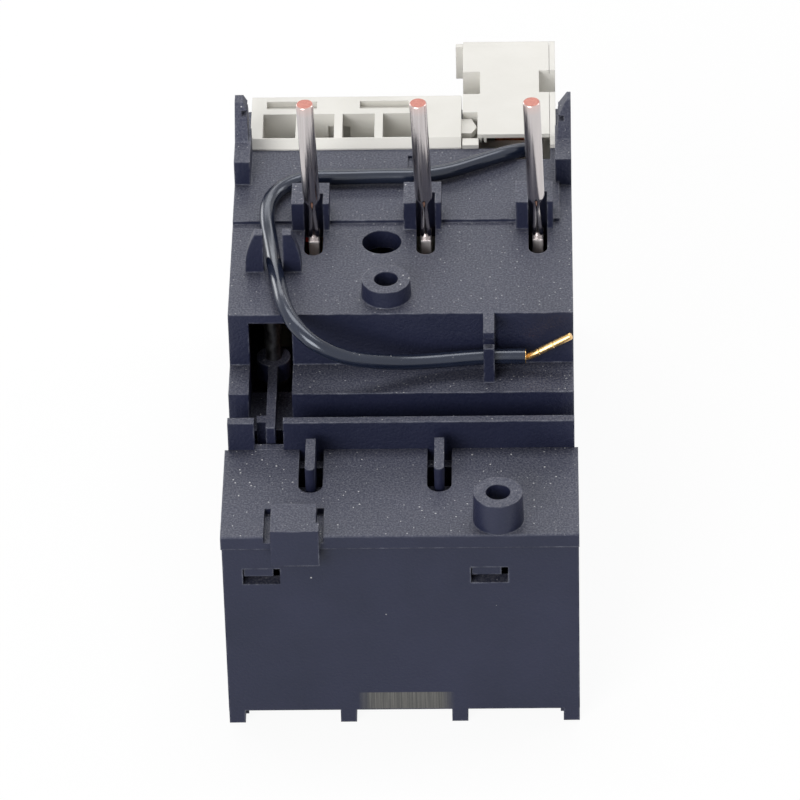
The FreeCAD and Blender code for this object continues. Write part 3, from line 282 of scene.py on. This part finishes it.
def streakGroup():
    # drawn or brushed metal: fine lines along one axis
    group, start, end = newGroup(
        "drawnStreaks", {"Across X": 4000.0, "Across Y": 4000.0, "Across Z": 60.0},
        {"Streak": "NodeSocketFloat"})
    nodes, links = group.nodes, group.links
    place = addNode(nodes, "ShaderNodeTexCoord")
    stretch = addNode(nodes, "ShaderNodeCombineXYZ")
    scaled = addNode(nodes, "ShaderNodeVectorMath", operation="MULTIPLY")
    lines = addNode(nodes, "ShaderNodeTexNoise", {"Scale": 1.0, "Detail": 3.0, "Roughness": 0.6})
    for index, axis in enumerate("XYZ"):
        links.new(start.outputs["Across " + axis], stretch.inputs[index])
    links.new(place.outputs["Object"], scaled.inputs[0])
    links.new(stretch.outputs[0], scaled.inputs[1])
    links.new(scaled.outputs[0], lines.inputs["Vector"])
    links.new(lines.outputs["Fac"], end.inputs["Streak"])
    return group


mouldGrain = grainGroup()
dustAndPaintedTopLight = dustGroup()
drawnStreaks = streakGroup()


def useGroup(nodes, group, **values):
    node = nodes.new("ShaderNodeGroup")
    node.node_tree = group
    for key, value in values.items():
        node.inputs[key.replace("_", " ")].default_value = value
    return node


def colour(red, green, blue):
    return (red, green, blue, 1.0)


def startMaterial(name, roughness, metallic=0.0, **sockets):
    material = bpy.data.materials.new(name)
    material.use_nodes = True
    nodes, links = material.node_tree.nodes, material.node_tree.links
    shader = nodes["Principled BSDF"]
    shader.inputs["Roughness"].default_value = roughness
    shader.inputs["Metallic"].default_value = metallic
    for key, value in sockets.items():
        shader.inputs[key.replace("_", " ")].default_value = value
    return material, nodes, links, shader


def mixColours(nodes, links, factor, first, second):
    mix = nodes.new("ShaderNodeMix")
    mix.data_type = "RGBA"
    if isinstance(factor, float):
        mix.inputs[0].default_value = factor
    else:
        links.new(factor, mix.inputs[0])
    for socket, value in ((6, first), (7, second)):
        if isinstance(value, tuple):
            mix.inputs[socket].default_value = value
        else:
            links.new(value, mix.inputs[socket])
    return mix.outputs[2]


def roundedBump(nodes, links, shader, height, distance, radius):
    # a tiny edge radius under the grain
    bevel = addNode(nodes, "ShaderNodeBevel", {"Radius": radius}, samples=6)
    bump = addNode(nodes, "ShaderNodeBump", {"Strength": 1.0, "Distance": distance})
    links.new(bevel.outputs[0], bump.inputs["Normal"])
    links.new(height, bump.inputs["Height"])
    links.new(bump.outputs[0], shader.inputs["Normal"])


# ---- finishes

surfaceTones = {
    "speck": colour(0.8, 0.8, 0.8),
    # pale tone laid over upward faces: partly dust, partly painted top light
    "filmAndTopLight": colour(0.42, 0.42, 0.46),
    # lighter edge tone: wear plus painted edge highlight
    "wornAndHighlit": colour(0.30, 0.31, 0.36),
}

# reach and noise of the lighter edges: wear plus painted edge highlight
edgeRubAndHighlight = {"reach": 1.6, "noiseScale": 420.0}  # reach in edge radii

# how far the roughness strays below and above its middle
roughnessSpread = {"moulded": (-0.07, 0.08), "metal": (-0.08, 0.1)}


def wornEdges(nodes, links, radius, noiseScale):
    # 1 on outer and inner edges, broken up by a slow noise: partly polish from handling, partly painted edge
    # highlight where light catches the rounded edges
    soft = addNode(nodes, "ShaderNodeBevel", {"Radius": radius}, samples=4)
    face = addNode(nodes, "ShaderNodeNewGeometry")
    facing = addNode(nodes, "ShaderNodeVectorMath", operation="DOT_PRODUCT")
    links.new(soft.outputs[0], facing.inputs[0])
    links.new(face.outputs["Normal"], facing.inputs[1])
    place = addNode(nodes, "ShaderNodeTexCoord")
    patches = addNode(nodes, "ShaderNodeTexNoise", {"Scale": noiseScale, "Detail": 4.0, "Roughness": 0.65})
    links.new(place.outputs["Object"], patches.inputs["Vector"])
    turned = mapValue(nodes, links, facing.outputs["Value"], 0.985, 0.90, 0, 1)
    uneven = mapValue(nodes, links, patches.outputs["Fac"], 0.42, 0.68, 0, 1)
    return multiply(nodes, links, turned, uneven)


def mouldedFinish(name, dark, light, roughness, dust=0.0, grainDepth=0.00001, edge=0.00022, dustTone=0.5,
                  wearAndHighlight=0.0, filmAndTopLight=0.0, specular=0.5, sheenTint=colour(1, 1, 1), patch=None):
    material, nodes, links, shader = startMaterial(
        name, roughness, Specular_IOR_Level=specular, Specular_Tint=sheenTint)
    lowest, highest = (roughness + stray for stray in roughnessSpread["moulded"])
    grain = useGroup(nodes, mouldGrain)
    specks = useGroup(nodes, dustAndPaintedTopLight, Share=dust)
    mottle = mapValue(nodes, links, grain.outputs["Mottle"], 0.3, 0.7, 0, 1)
    tone = mixColours(nodes, links, mottle, dark, light)
    # upward faces lightened towards a pale grey: partly dust, partly painted top light
    if filmAndTopLight:
        thin = mapValue(nodes, links, specks.outputs["Dust Film And Top Light"], 0, 1, 0, filmAndTopLight)
        tone = mixColours(nodes, links, thin, tone, surfaceTones["filmAndTopLight"])
    # edges lightened: partly wear, partly painted edge highlight
    if wearAndHighlight:
        edges = wornEdges(nodes, links, edge * edgeRubAndHighlight["reach"], edgeRubAndHighlight["noiseScale"])
        wornAndHighlit = mapValue(nodes, links, edges, 0, 1, 0, wearAndHighlight)
        tone = mixColours(nodes, links, wornAndHighlit, tone, surfaceTones["wornAndHighlit"])
    if patch:
        tone = patch(nodes, links, tone)
    strength = mapValue(nodes, links, specks.outputs["Specks"], 0, 1, 0, dustTone)
    links.new(mixColours(nodes, links, strength, tone, surfaceTones["speck"]), shader.inputs["Base Color"])
    links.new(mapValue(nodes, links, grain.outputs["Height"], 0.3, 1.0, lowest, highest),
              shader.inputs["Roughness"])
    roundedBump(nodes, links, shader, grain.outputs["Height"], grainDepth, edge)
    return material


groundStrip = {
    "left": -0.0059, "right": 0.0065, "bottom": 0.0021, "top": 0.0049,
    "blend": 0.0018, "sharpBlend": 0.0001,
    "dark": (0.052, 0.052, 0.050, 1.0), "light": (0.112, 0.109, 0.100, 1.0),
}


def groundPatch(nodes, links, tone):
    # strip low on the rear cover, ground back to bare plastic: fine upright streaks that fade at both ends
    values = groundStrip
    place = addNode(nodes, "ShaderNodeTexCoord")
    split = addNode(nodes, "ShaderNodeSeparateXYZ")
    links.new(place.outputs["Object"], split.inputs[0])
    lines = useGroup(nodes, drawnStreaks, Across_X=5200.0, Across_Y=400.0, Across_Z=90.0)
    inside = None
    for socket, side, blend in (
            ("X", "left", values["blend"]), ("X", "right", -values["blend"]),
            ("Z", "bottom", values["sharpBlend"]), ("Z", "top", -values["sharpBlend"])):
        limit = mapValue(nodes, links, split.outputs[socket], values[side], values[side] + blend, 0, 1)
        inside = multiply(nodes, links, inside, limit) if inside else limit
    bare = mixColours(nodes, links, mapValue(nodes, links, lines.outputs["Streak"], 0.36, 0.64, 0, 1),
                      values["dark"], values["light"])
    return mixColours(nodes, links, inside, tone, bare)


def metalFinish(name, dark, light, roughness, streaks, depth=0.000004, edge=0.00008):
    material, nodes, links, shader = startMaterial(name, roughness, 1.0)
    lowest, highest = (roughness + stray for stray in roughnessSpread["metal"])
    lines = useGroup(nodes, drawnStreaks, Across_X=streaks[0], Across_Y=streaks[1], Across_Z=streaks[2])
    share = mapValue(nodes, links, lines.outputs["Streak"], 0.35, 0.65, 0, 1)
    links.new(mixColours(nodes, links, share, dark, light), shader.inputs["Base Color"])
    links.new(mapValue(nodes, links, lines.outputs["Streak"], 0.3, 0.7, lowest, highest),
              shader.inputs["Roughness"])
    roundedBump(nodes, links, shader, lines.outputs["Streak"], depth, edge)
    return material


pinTones = {
    "tipHeight": 0.0640, "tipBlend": 0.00006, "rim": 0.0628, "rimBlend": 0.0013, "rimShare": 0.35,
    "bladeTop": 0.04345, "bladeBlend": 0.0002, "bladeMetallic": 0.15, "bump": 0.0000005,
    "roughness": 0.2, "cutRoughness": 0.5,
    "darkSilver": colour(0.50, 0.465, 0.465), "lightSilver": colour(0.63, 0.59, 0.585),
    "warmRim": colour(0.80, 0.52, 0.46),
    "darkCopper": colour(0.34, 0.14, 0.115), "lightCopper": colour(0.45, 0.21, 0.175),
}


def pinFinish(values):
    # silver plate, with the bare copper of the cut end showing on top, and a duller blade below
    material, nodes, links, shader = startMaterial("silverPin", values["roughness"], 1.0)
    lines = useGroup(nodes, drawnStreaks, Across_X=2600.0, Across_Y=2600.0, Across_Z=45.0)
    silver = mixColours(nodes, links, mapValue(nodes, links, lines.outputs["Streak"], 0.3, 0.7, 0, 1),
                        values["darkSilver"], values["lightSilver"])
    place = addNode(nodes, "ShaderNodeTexCoord")
    split = addNode(nodes, "ShaderNodeSeparateXYZ")
    links.new(place.outputs["Object"], split.inputs[0])
    height = split.outputs["Z"]
    rim = mapValue(nodes, links, height, values["rim"], values["rim"] + values["rimBlend"],
                   0, values["rimShare"])
    plate = mixColours(nodes, links, rim, silver, values["warmRim"])
    face = addNode(nodes, "ShaderNodeNewGeometry")
    upward = addNode(nodes, "ShaderNodeSeparateXYZ")
    links.new(face.outputs["Normal"], upward.inputs[0])
    flat = mapValue(nodes, links, upward.outputs["Z"], 0.6, 0.9, 0, 1)
    atTip = mapValue(nodes, links, height, values["tipHeight"], values["tipHeight"] + values["tipBlend"],
                     0, 1)
    cut = multiply(nodes, links, flat, atTip)
    grain = addNode(nodes, "ShaderNodeTexNoise", {"Scale": 5200.0, "Detail": 3.0})
    links.new(place.outputs["Object"], grain.inputs["Vector"])
    copper = mixColours(nodes, links, mapValue(nodes, links, grain.outputs["Fac"], 0.35, 0.65, 0, 1),
                        values["darkCopper"], values["lightCopper"])
    links.new(mixColours(nodes, links, cut, plate, copper), shader.inputs["Base Color"])
    dull = mapValue(nodes, links, cut, 0, 1, values["roughness"], values["cutRoughness"])
    uneven = addNode(nodes, "ShaderNodeMath", operation="ADD")
    links.new(dull, uneven.inputs[0])
    links.new(mapValue(nodes, links, lines.outputs["Streak"], 0.3, 0.7, -0.04, 0.05), uneven.inputs[1])
    links.new(uneven.outputs[0], shader.inputs["Roughness"])
    blade = mapValue(nodes, links, height, values["bladeTop"], values["bladeTop"] + values["bladeBlend"],
                     values["bladeMetallic"], 1)
    links.new(blade, shader.inputs["Metallic"])
    bump = addNode(nodes, "ShaderNodeBump", {"Strength": 1.0, "Distance": values["bump"]})
    links.new(lines.outputs["Streak"], bump.inputs["Height"])
    links.new(bump.outputs[0], shader.inputs["Normal"])
    return material


leadTones = {
    "dark": colour(0.005, 0.008, 0.019), "light": colour(0.010, 0.014, 0.029),
    "sheenTint": colour(0.86, 0.91, 1.0), "specular": 0.62,
    "roughness": 0.2, "glossiest": 0.15, "dullest": 0.26,
    "dust": 0.22, "dustTone": 0.3, "bump": 0.000004,
}


def leadFinish(values):
    # soft black insulation with a waxy gloss
    material, nodes, links, shader = startMaterial(
        "leadInsulation", values["roughness"], Specular_IOR_Level=values["specular"],
        Specular_Tint=values["sheenTint"])
    grain = useGroup(nodes, mouldGrain, Grain_Scale=1500.0, Mottle_Scale=160.0)
    specks = useGroup(nodes, dustAndPaintedTopLight, Share=values["dust"])
    tone = mixColours(nodes, links, mapValue(nodes, links, grain.outputs["Mottle"], 0.3, 0.7, 0, 1),
                      values["dark"], values["light"])
    strength = mapValue(nodes, links, specks.outputs["Specks"], 0, 1, 0, values["dustTone"])
    links.new(mixColours(nodes, links, strength, tone, surfaceTones["speck"]), shader.inputs["Base Color"])
    gloss = mapValue(nodes, links, grain.outputs["Mottle"], 0.3, 0.7, values["glossiest"], values["dullest"])
    links.new(gloss, shader.inputs["Roughness"])
    bump = addNode(nodes, "ShaderNodeBump", {"Strength": 1.0, "Distance": values["bump"]})
    links.new(grain.outputs["Height"], bump.inputs["Height"])
    links.new(bump.outputs[0], shader.inputs["Normal"])
    return material


blackTones = {
    "dark": colour(0.006, 0.008, 0.025), "light": colour(0.011, 0.013, 0.035), "roughness": 0.45,
    # the edge value below lays painted edge highlight as well as wear on the edges
    # the veil value below lays painted top light, with some dust, over upward faces
    "grainDepth": 0.00005, "dust": 0.75, "dustTone": 0.55, "wearAndHighlight": 0.5, "filmAndTopLight": 0.23,
    "specular": 0.42, "sheenTint": colour(0.88, 0.92, 1.0),
}

finishes = {
    "black_moulding": mouldedFinish("blackMoulding", **blackTones),
    "pale_moulding": mouldedFinish(
        "paleMoulding", colour(0.66, 0.645, 0.60), colour(0.73, 0.715, 0.675), 0.42,
        grainDepth=0.000008, edge=0.0001),
    "inner_moulding": mouldedFinish(
        "innerMoulding", colour(0.42, 0.40, 0.34), colour(0.50, 0.48, 0.42), 0.5, grainDepth=0.00001),
    "flag_moulding": mouldedFinish(
        "flagMoulding", colour(0.75, 0.20, 0.03), colour(0.82, 0.26, 0.05), 0.4),
    "reset_moulding": mouldedFinish(
        "resetMoulding", colour(0.02, 0.05, 0.28), colour(0.03, 0.07, 0.34), 0.32,
        dust=0.05, grainDepth=0.000006),
    "stop_moulding": mouldedFinish(
        "stopMoulding", colour(0.42, 0.015, 0.012), colour(0.50, 0.02, 0.016), 0.32,
        dust=0.05, grainDepth=0.000006),
    "silver_pin": pinFinish(pinTones),
    "silver_contact": metalFinish(
        "silverContact", colour(0.70, 0.68, 0.64), colour(0.84, 0.82, 0.78), 0.28, (900, 900, 900)),
    "copper_strip": metalFinish(
        "copperStrip", colour(0.72, 0.36, 0.24), colour(0.86, 0.50, 0.36), 0.34, (2600, 60, 2600)),
    "bimetal": metalFinish(
        "bimetalStrip", colour(0.42, 0.40, 0.37), colour(0.58, 0.56, 0.53), 0.36, (2600, 2600, 60)),
    "heater_alloy": metalFinish(
        "heaterAlloy", colour(0.34, 0.32, 0.30), colour(0.46, 0.44, 0.41), 0.42, (900, 900, 900)),
    "dark_steel": metalFinish(
        "darkSteel", colour(0.10, 0.10, 0.105), colour(0.17, 0.17, 0.18), 0.38, (900, 900, 900)),
    "zinc_steel": metalFinish(
        "zincSteel", colour(0.58, 0.60, 0.62), colour(0.76, 0.77, 0.78), 0.3, (900, 900, 900)),
    "spring_steel": metalFinish(
        "springSteel", colour(0.5, 0.5, 0.52), colour(0.68, 0.68, 0.7), 0.3, (900, 900, 900)),
    "lead_insulation": leadFinish(leadTones),
    "brass_pin": metalFinish(
        "turnedBrass", colour(0.62, 0.38, 0.14), colour(0.86, 0.60, 0.28), 0.26, (900, 900, 900)),
}

for entry in frame["record"]["subparts"]:
    for slot in frame["nodes"][entry["node"]].material_slots:
        slot.material = finishes[entry["material_slot"]]
for slot in frame["nodes"]["rear_cover"].material_slots:
    slot.material = mouldedFinish("groundMoulding", patch=groundPatch, **blackTones)
print("finishes:", len(finishes))


# ---- coil lead

lead = {
    "diameter": 0.002,
    "length": 0.1038,
    "order": 3,
    "stepsAlong": 10,
    "stepsRound": 6,
    "route": (
        (0.0176, 0.0279, 0.0434),
        (0.0176, 0.0245, 0.0434),
        (0.0166, 0.0212, 0.0447),
        (0.0140, 0.0189, 0.0459),
        (0.0104, 0.0170, 0.0459),
        (0.0064, 0.0148, 0.0459),
        (0.0022, 0.0136, 0.0459),
        (-0.0030, 0.0137, 0.0459),
        (-0.0080, 0.0135, 0.0459),
        (-0.0124, 0.0136, 0.0459),
        (-0.0157, 0.0117, 0.0459),
        (-0.0175, 0.0084, 0.0459),
        (-0.0176, 0.0041, 0.0459),
        (-0.0169, -0.0005, 0.0454),
        (-0.0163, -0.0055, 0.0454),
        (-0.0155, -0.0107, 0.0456),
        (-0.0149, -0.0143, 0.0457),
        (-0.0136, -0.0175, 0.0450),
        (-0.0112, -0.0198, 0.0437),
        (-0.0079, -0.0205, 0.0421),
        (-0.0042, -0.0196, 0.0405),
        (0.0002, -0.0182, 0.0392),
        (0.0050, -0.0170, 0.0386),
        (0.0096, -0.0165, 0.0387),
        (0.0128, -0.0165, 0.0388),
        (0.0159, -0.0165, 0.0388),
    ),
}


def makeLead(values, endPin):
    curve = bpy.data.curves.new("coilLead", "CURVE")
    curve.dimensions = "3D"
    spline = curve.splines.new("NURBS")
    spline.points.add(len(values["route"]) - 1)
    for point, place in zip(spline.points, values["route"]):
        point.co = (*place, 1.0)
    spline.order_u = values["order"]
    spline.use_endpoint_u = True
    spline.resolution_u = values["stepsAlong"]
    curve.bevel_depth = values["diameter"] / 2
    curve.bevel_resolution = values["stepsRound"]
    curve.use_fill_caps = True
    curve.materials.append(finishes["lead_insulation"])
    piece = bpy.data.objects.new("coilLead", curve)
    bpy.context.scene.collection.objects.link(piece)
    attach(piece, "housing")
    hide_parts("lead_wire")


# ---- turned pieces, built up ring by ring

smoothAngle = 40


def turnPiece(name, rings, sides, finish, body, place, turn):
    # rings: (height, radius) from one end to the other, along +Z before the piece is placed
    deselectAll()
    height, radius = rings[0]
    bpy.ops.mesh.primitive_circle_add(vertices=sides, radius=radius, fill_type="NGON", location=(0, 0, 0))
    piece = bpy.context.object
    piece.name = name
    piece.data.transform(Matrix.Translation((0, 0, height)))
    bpy.ops.object.mode_set(mode="EDIT")
    bpy.ops.mesh.select_all(action="SELECT")
    for nextHeight, nextRadius in rings[1:]:
        bpy.ops.mesh.extrude_region_move(TRANSFORM_OT_translate={"value": (0, 0, nextHeight - height)})
        share = nextRadius / radius
        bpy.ops.transform.resize(value=(share, share, 1), center_override=(0, 0, nextHeight))
        height, radius = nextHeight, nextRadius
    bpy.ops.mesh.select_all(action="SELECT")
    bpy.ops.mesh.normals_make_consistent(inside=False)
    bpy.ops.object.mode_set(mode="OBJECT")
    bpy.ops.object.shade_smooth_by_angle(angle=math.radians(smoothAngle))
    piece.data.transform(Matrix.Translation(place) @ turn)
    piece.data.materials.append(finishes[finish])
    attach(piece, body)
    return piece


def addTongue(values, middle):
    # flat blade under the round shaft, with softened edges
    deselectAll()
    height = values["top"] - values["bottom"]
    bpy.ops.mesh.primitive_cube_add(size=1, location=(0, 0, 0))
    blade = bpy.context.object
    blade.data.transform(Matrix.Diagonal((values["thickness"], values["width"], height, 1)))
    bevel = blade.modifiers.new("softEdges", "BEVEL")
    bevel.width = values["edge"]
    bevel.segments = 2
    bpy.ops.object.modifier_apply(modifier="softEdges")
    blade.data.transform(Matrix.Translation((middle[0], middle[1], values["bottom"] + height / 2)))
    blade.data.materials.append(finishes["silver_pin"])
    return blade


linePin = {
    "places": (-0.01145, 0.0031, 0.01765),
    "depth": 0.0038,
    "flareBottom": 0.0433,
    # heights above the flare and radii, up to the rounded edge of the cut end
    "rings": ((0, 0.0006), (0.0001, 0.000725), (0.0022, 0.0006), (0.0040, 0.00051), (0.0047, 0.00051),
              (0.0053, 0.00066), (0.0060, 0.00103), (0.0064, 0.001125), (0.0208, 0.001125),
              (0.02092, 0.00109), (0.021, 0.00100)),
    "lean": -1.8,
    "sides": 48,
    "tongue": {"bottom": 0.0382, "top": 0.0436, "thickness": 0.0014, "width": 0.0032, "edge": 0.00018},
}


def dressPins(values):
    lean = Matrix.Rotation(math.radians(values["lean"]), 4, "Y")
    for number, place in enumerate(values["places"], 1):
        foot = Vector((place, values["depth"], values["flareBottom"]))
        shaft = turnPiece(
            "pinShaft%d" % number, values["rings"], values["sides"], "silver_pin", "housing", foot, lean)
        blade = addTongue(values["tongue"], foot)
        deselectAll()
        blade.select_set(True)
        shaft.select_set(True)
        bpy.context.view_layer.objects.active = shaft
        bpy.ops.object.join()
        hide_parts("line_pin_%d" % number)


brassPin = {
    "root": (0.0160, -0.0165, 0.0385),
    "rise": 31.0,
    # heights and radii: rounded nose, two pairs of fine grooves, square end
    "rings": ((0, 0.00012), (0.00012, 0.00024), (0.0005, 0.000475), (0.00195, 0.000475), (0.00201, 0.00040),
              (0.00211, 0.00040), (0.00217, 0.000475), (0.00405, 0.000475), (0.00411, 0.00040),
              (0.00421, 0.00040), (0.00427, 0.000475), (0.00668, 0.000475), (0.0068, 0.00036)),
    "sides": 32,
    "neck": ((0.0, 0.00024), (0.0006, 0.00024)),
    "ferrule": ((0.0, 0.00094), (0.00010, 0.00094), (0.00012, 0.00090)),
    "end": (0.0159, -0.0165, 0.0388),
}


def dressBrassPin(values):
    alongX = Matrix.Rotation(math.radians(90), 4, "Y")
    tilt = Matrix.Rotation(math.radians(90 - values["rise"]), 4, "Y")
    end = Vector(values["end"])
    root = Vector(values["root"])
    pin = turnPiece("turnedPin", values["rings"], values["sides"], "brass_pin", "housing", root, tilt)
    neck = turnPiece("pinNeck", values["neck"], values["sides"], "brass_pin", "housing",
                     Vector((end[0], end[1], root[2])), alongX)
    ferrule = turnPiece("pinFerrule", values["ferrule"], values["sides"], "brass_pin", "housing", end, alongX)
    deselectAll()
    for piece in (neck, ferrule, pin):
        piece.select_set(True)
    bpy.context.view_layer.objects.active = pin
    bpy.ops.object.join()
    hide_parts("brass_pin")
    return pin


dressPins(linePin)
makeLead(lead, dressBrassPin(brassPin))
print("pins and lead ready")


# ---- scale round the setting dial

dialScale = {
    "middle": (0.0112, 0.027), "face": 0.0428, "raise": 0.00003,
    "numbers": (1, 2, 3, 4, 5, 6, 7), "sweep": 210.0, "radius": 0.0078, "height": 0.0016,
    "tickRadius": 0.0062, "tickLength": 0.0008, "tickWidth": 0.0002, "ticksBetween": 3,
    "shortTick": 0.55, "tickEdge": 0.3,  # shares of a long tick's length and of the raise
}


def faceForward(place, turn=0.0):
    # from the drawing plane to the front panel, upright for someone looking at the panel
    upright = Matrix(((-1, 0, 0), (0, 0, 1), (0, 1, 0))).to_4x4()
    return Matrix.Translation(place) @ upright @ Matrix.Rotation(turn, 4, "Z")


def onScale(values, radius, angle):
    across, up = values["middle"]
    return Vector((across - radius * math.sin(angle), values["face"] + values["raise"] / 2,
                   up + radius * math.cos(angle)))


def addNumber(values, number, angle):
    deselectAll()
    bpy.ops.object.text_add(location=(0, 0, 0))
    text = bpy.context.object
    text.data.body = str(number)
    text.data.size = values["height"]
    text.data.align_x = "CENTER"
    text.data.align_y = "CENTER"
    text.data.extrude = values["raise"] / 2
    bpy.ops.object.convert(target="MESH")
    piece = bpy.context.object
    piece.data.transform(faceForward(onScale(values, values["radius"], angle)))
    return piece


def addTick(values, angle, long):
    deselectAll()
    bpy.ops.mesh.primitive_cube_add(size=1, location=(0, 0, 0))
    tick = bpy.context.object
    length = values["tickLength"] * (1 if long else values["shortTick"])
    tick.data.transform(Matrix.Diagonal((values["tickWidth"], length, values["raise"], 1)))
    bevel = tick.modifiers.new("softEdges", "BEVEL")
    bevel.width = values["raise"] * values["tickEdge"]
    bpy.ops.object.modifier_apply(modifier="softEdges")
    radius = values["tickRadius"] + length / 2 - values["tickLength"] / 2
    tick.data.transform(faceForward(onScale(values, radius, angle), -angle))
    return tick


def printDialScale(values):
    marks = []
    steps = len(values["numbers"]) - 1
    for index, number in enumerate(values["numbers"]):
        angle = math.radians(values["sweep"]) * (index / steps - 0.5)
        marks.append(addNumber(values, number, angle))
        marks.append(addTick(values, angle, True))
        for part in range(1, values["ticksBetween"] + 1 if index < steps else 0):
            between = math.radians(values["sweep"]) * part / steps / (values["ticksBetween"] + 1)
            marks.append(addTick(values, angle + between, False))
    deselectAll()
    for mark in marks:
        mark.select_set(True)
    bpy.context.view_layer.objects.active = marks[0]
    bpy.ops.object.join()
    scale = bpy.context.object
    scale.name = "dialScale"
    scale.data.name = "dialScale"
    scale.data.materials.clear()
    scale.data.materials.append(finishes["pale_moulding"])
    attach(scale, "housing")


printDialScale(dialScale)
print("dial scale printed")
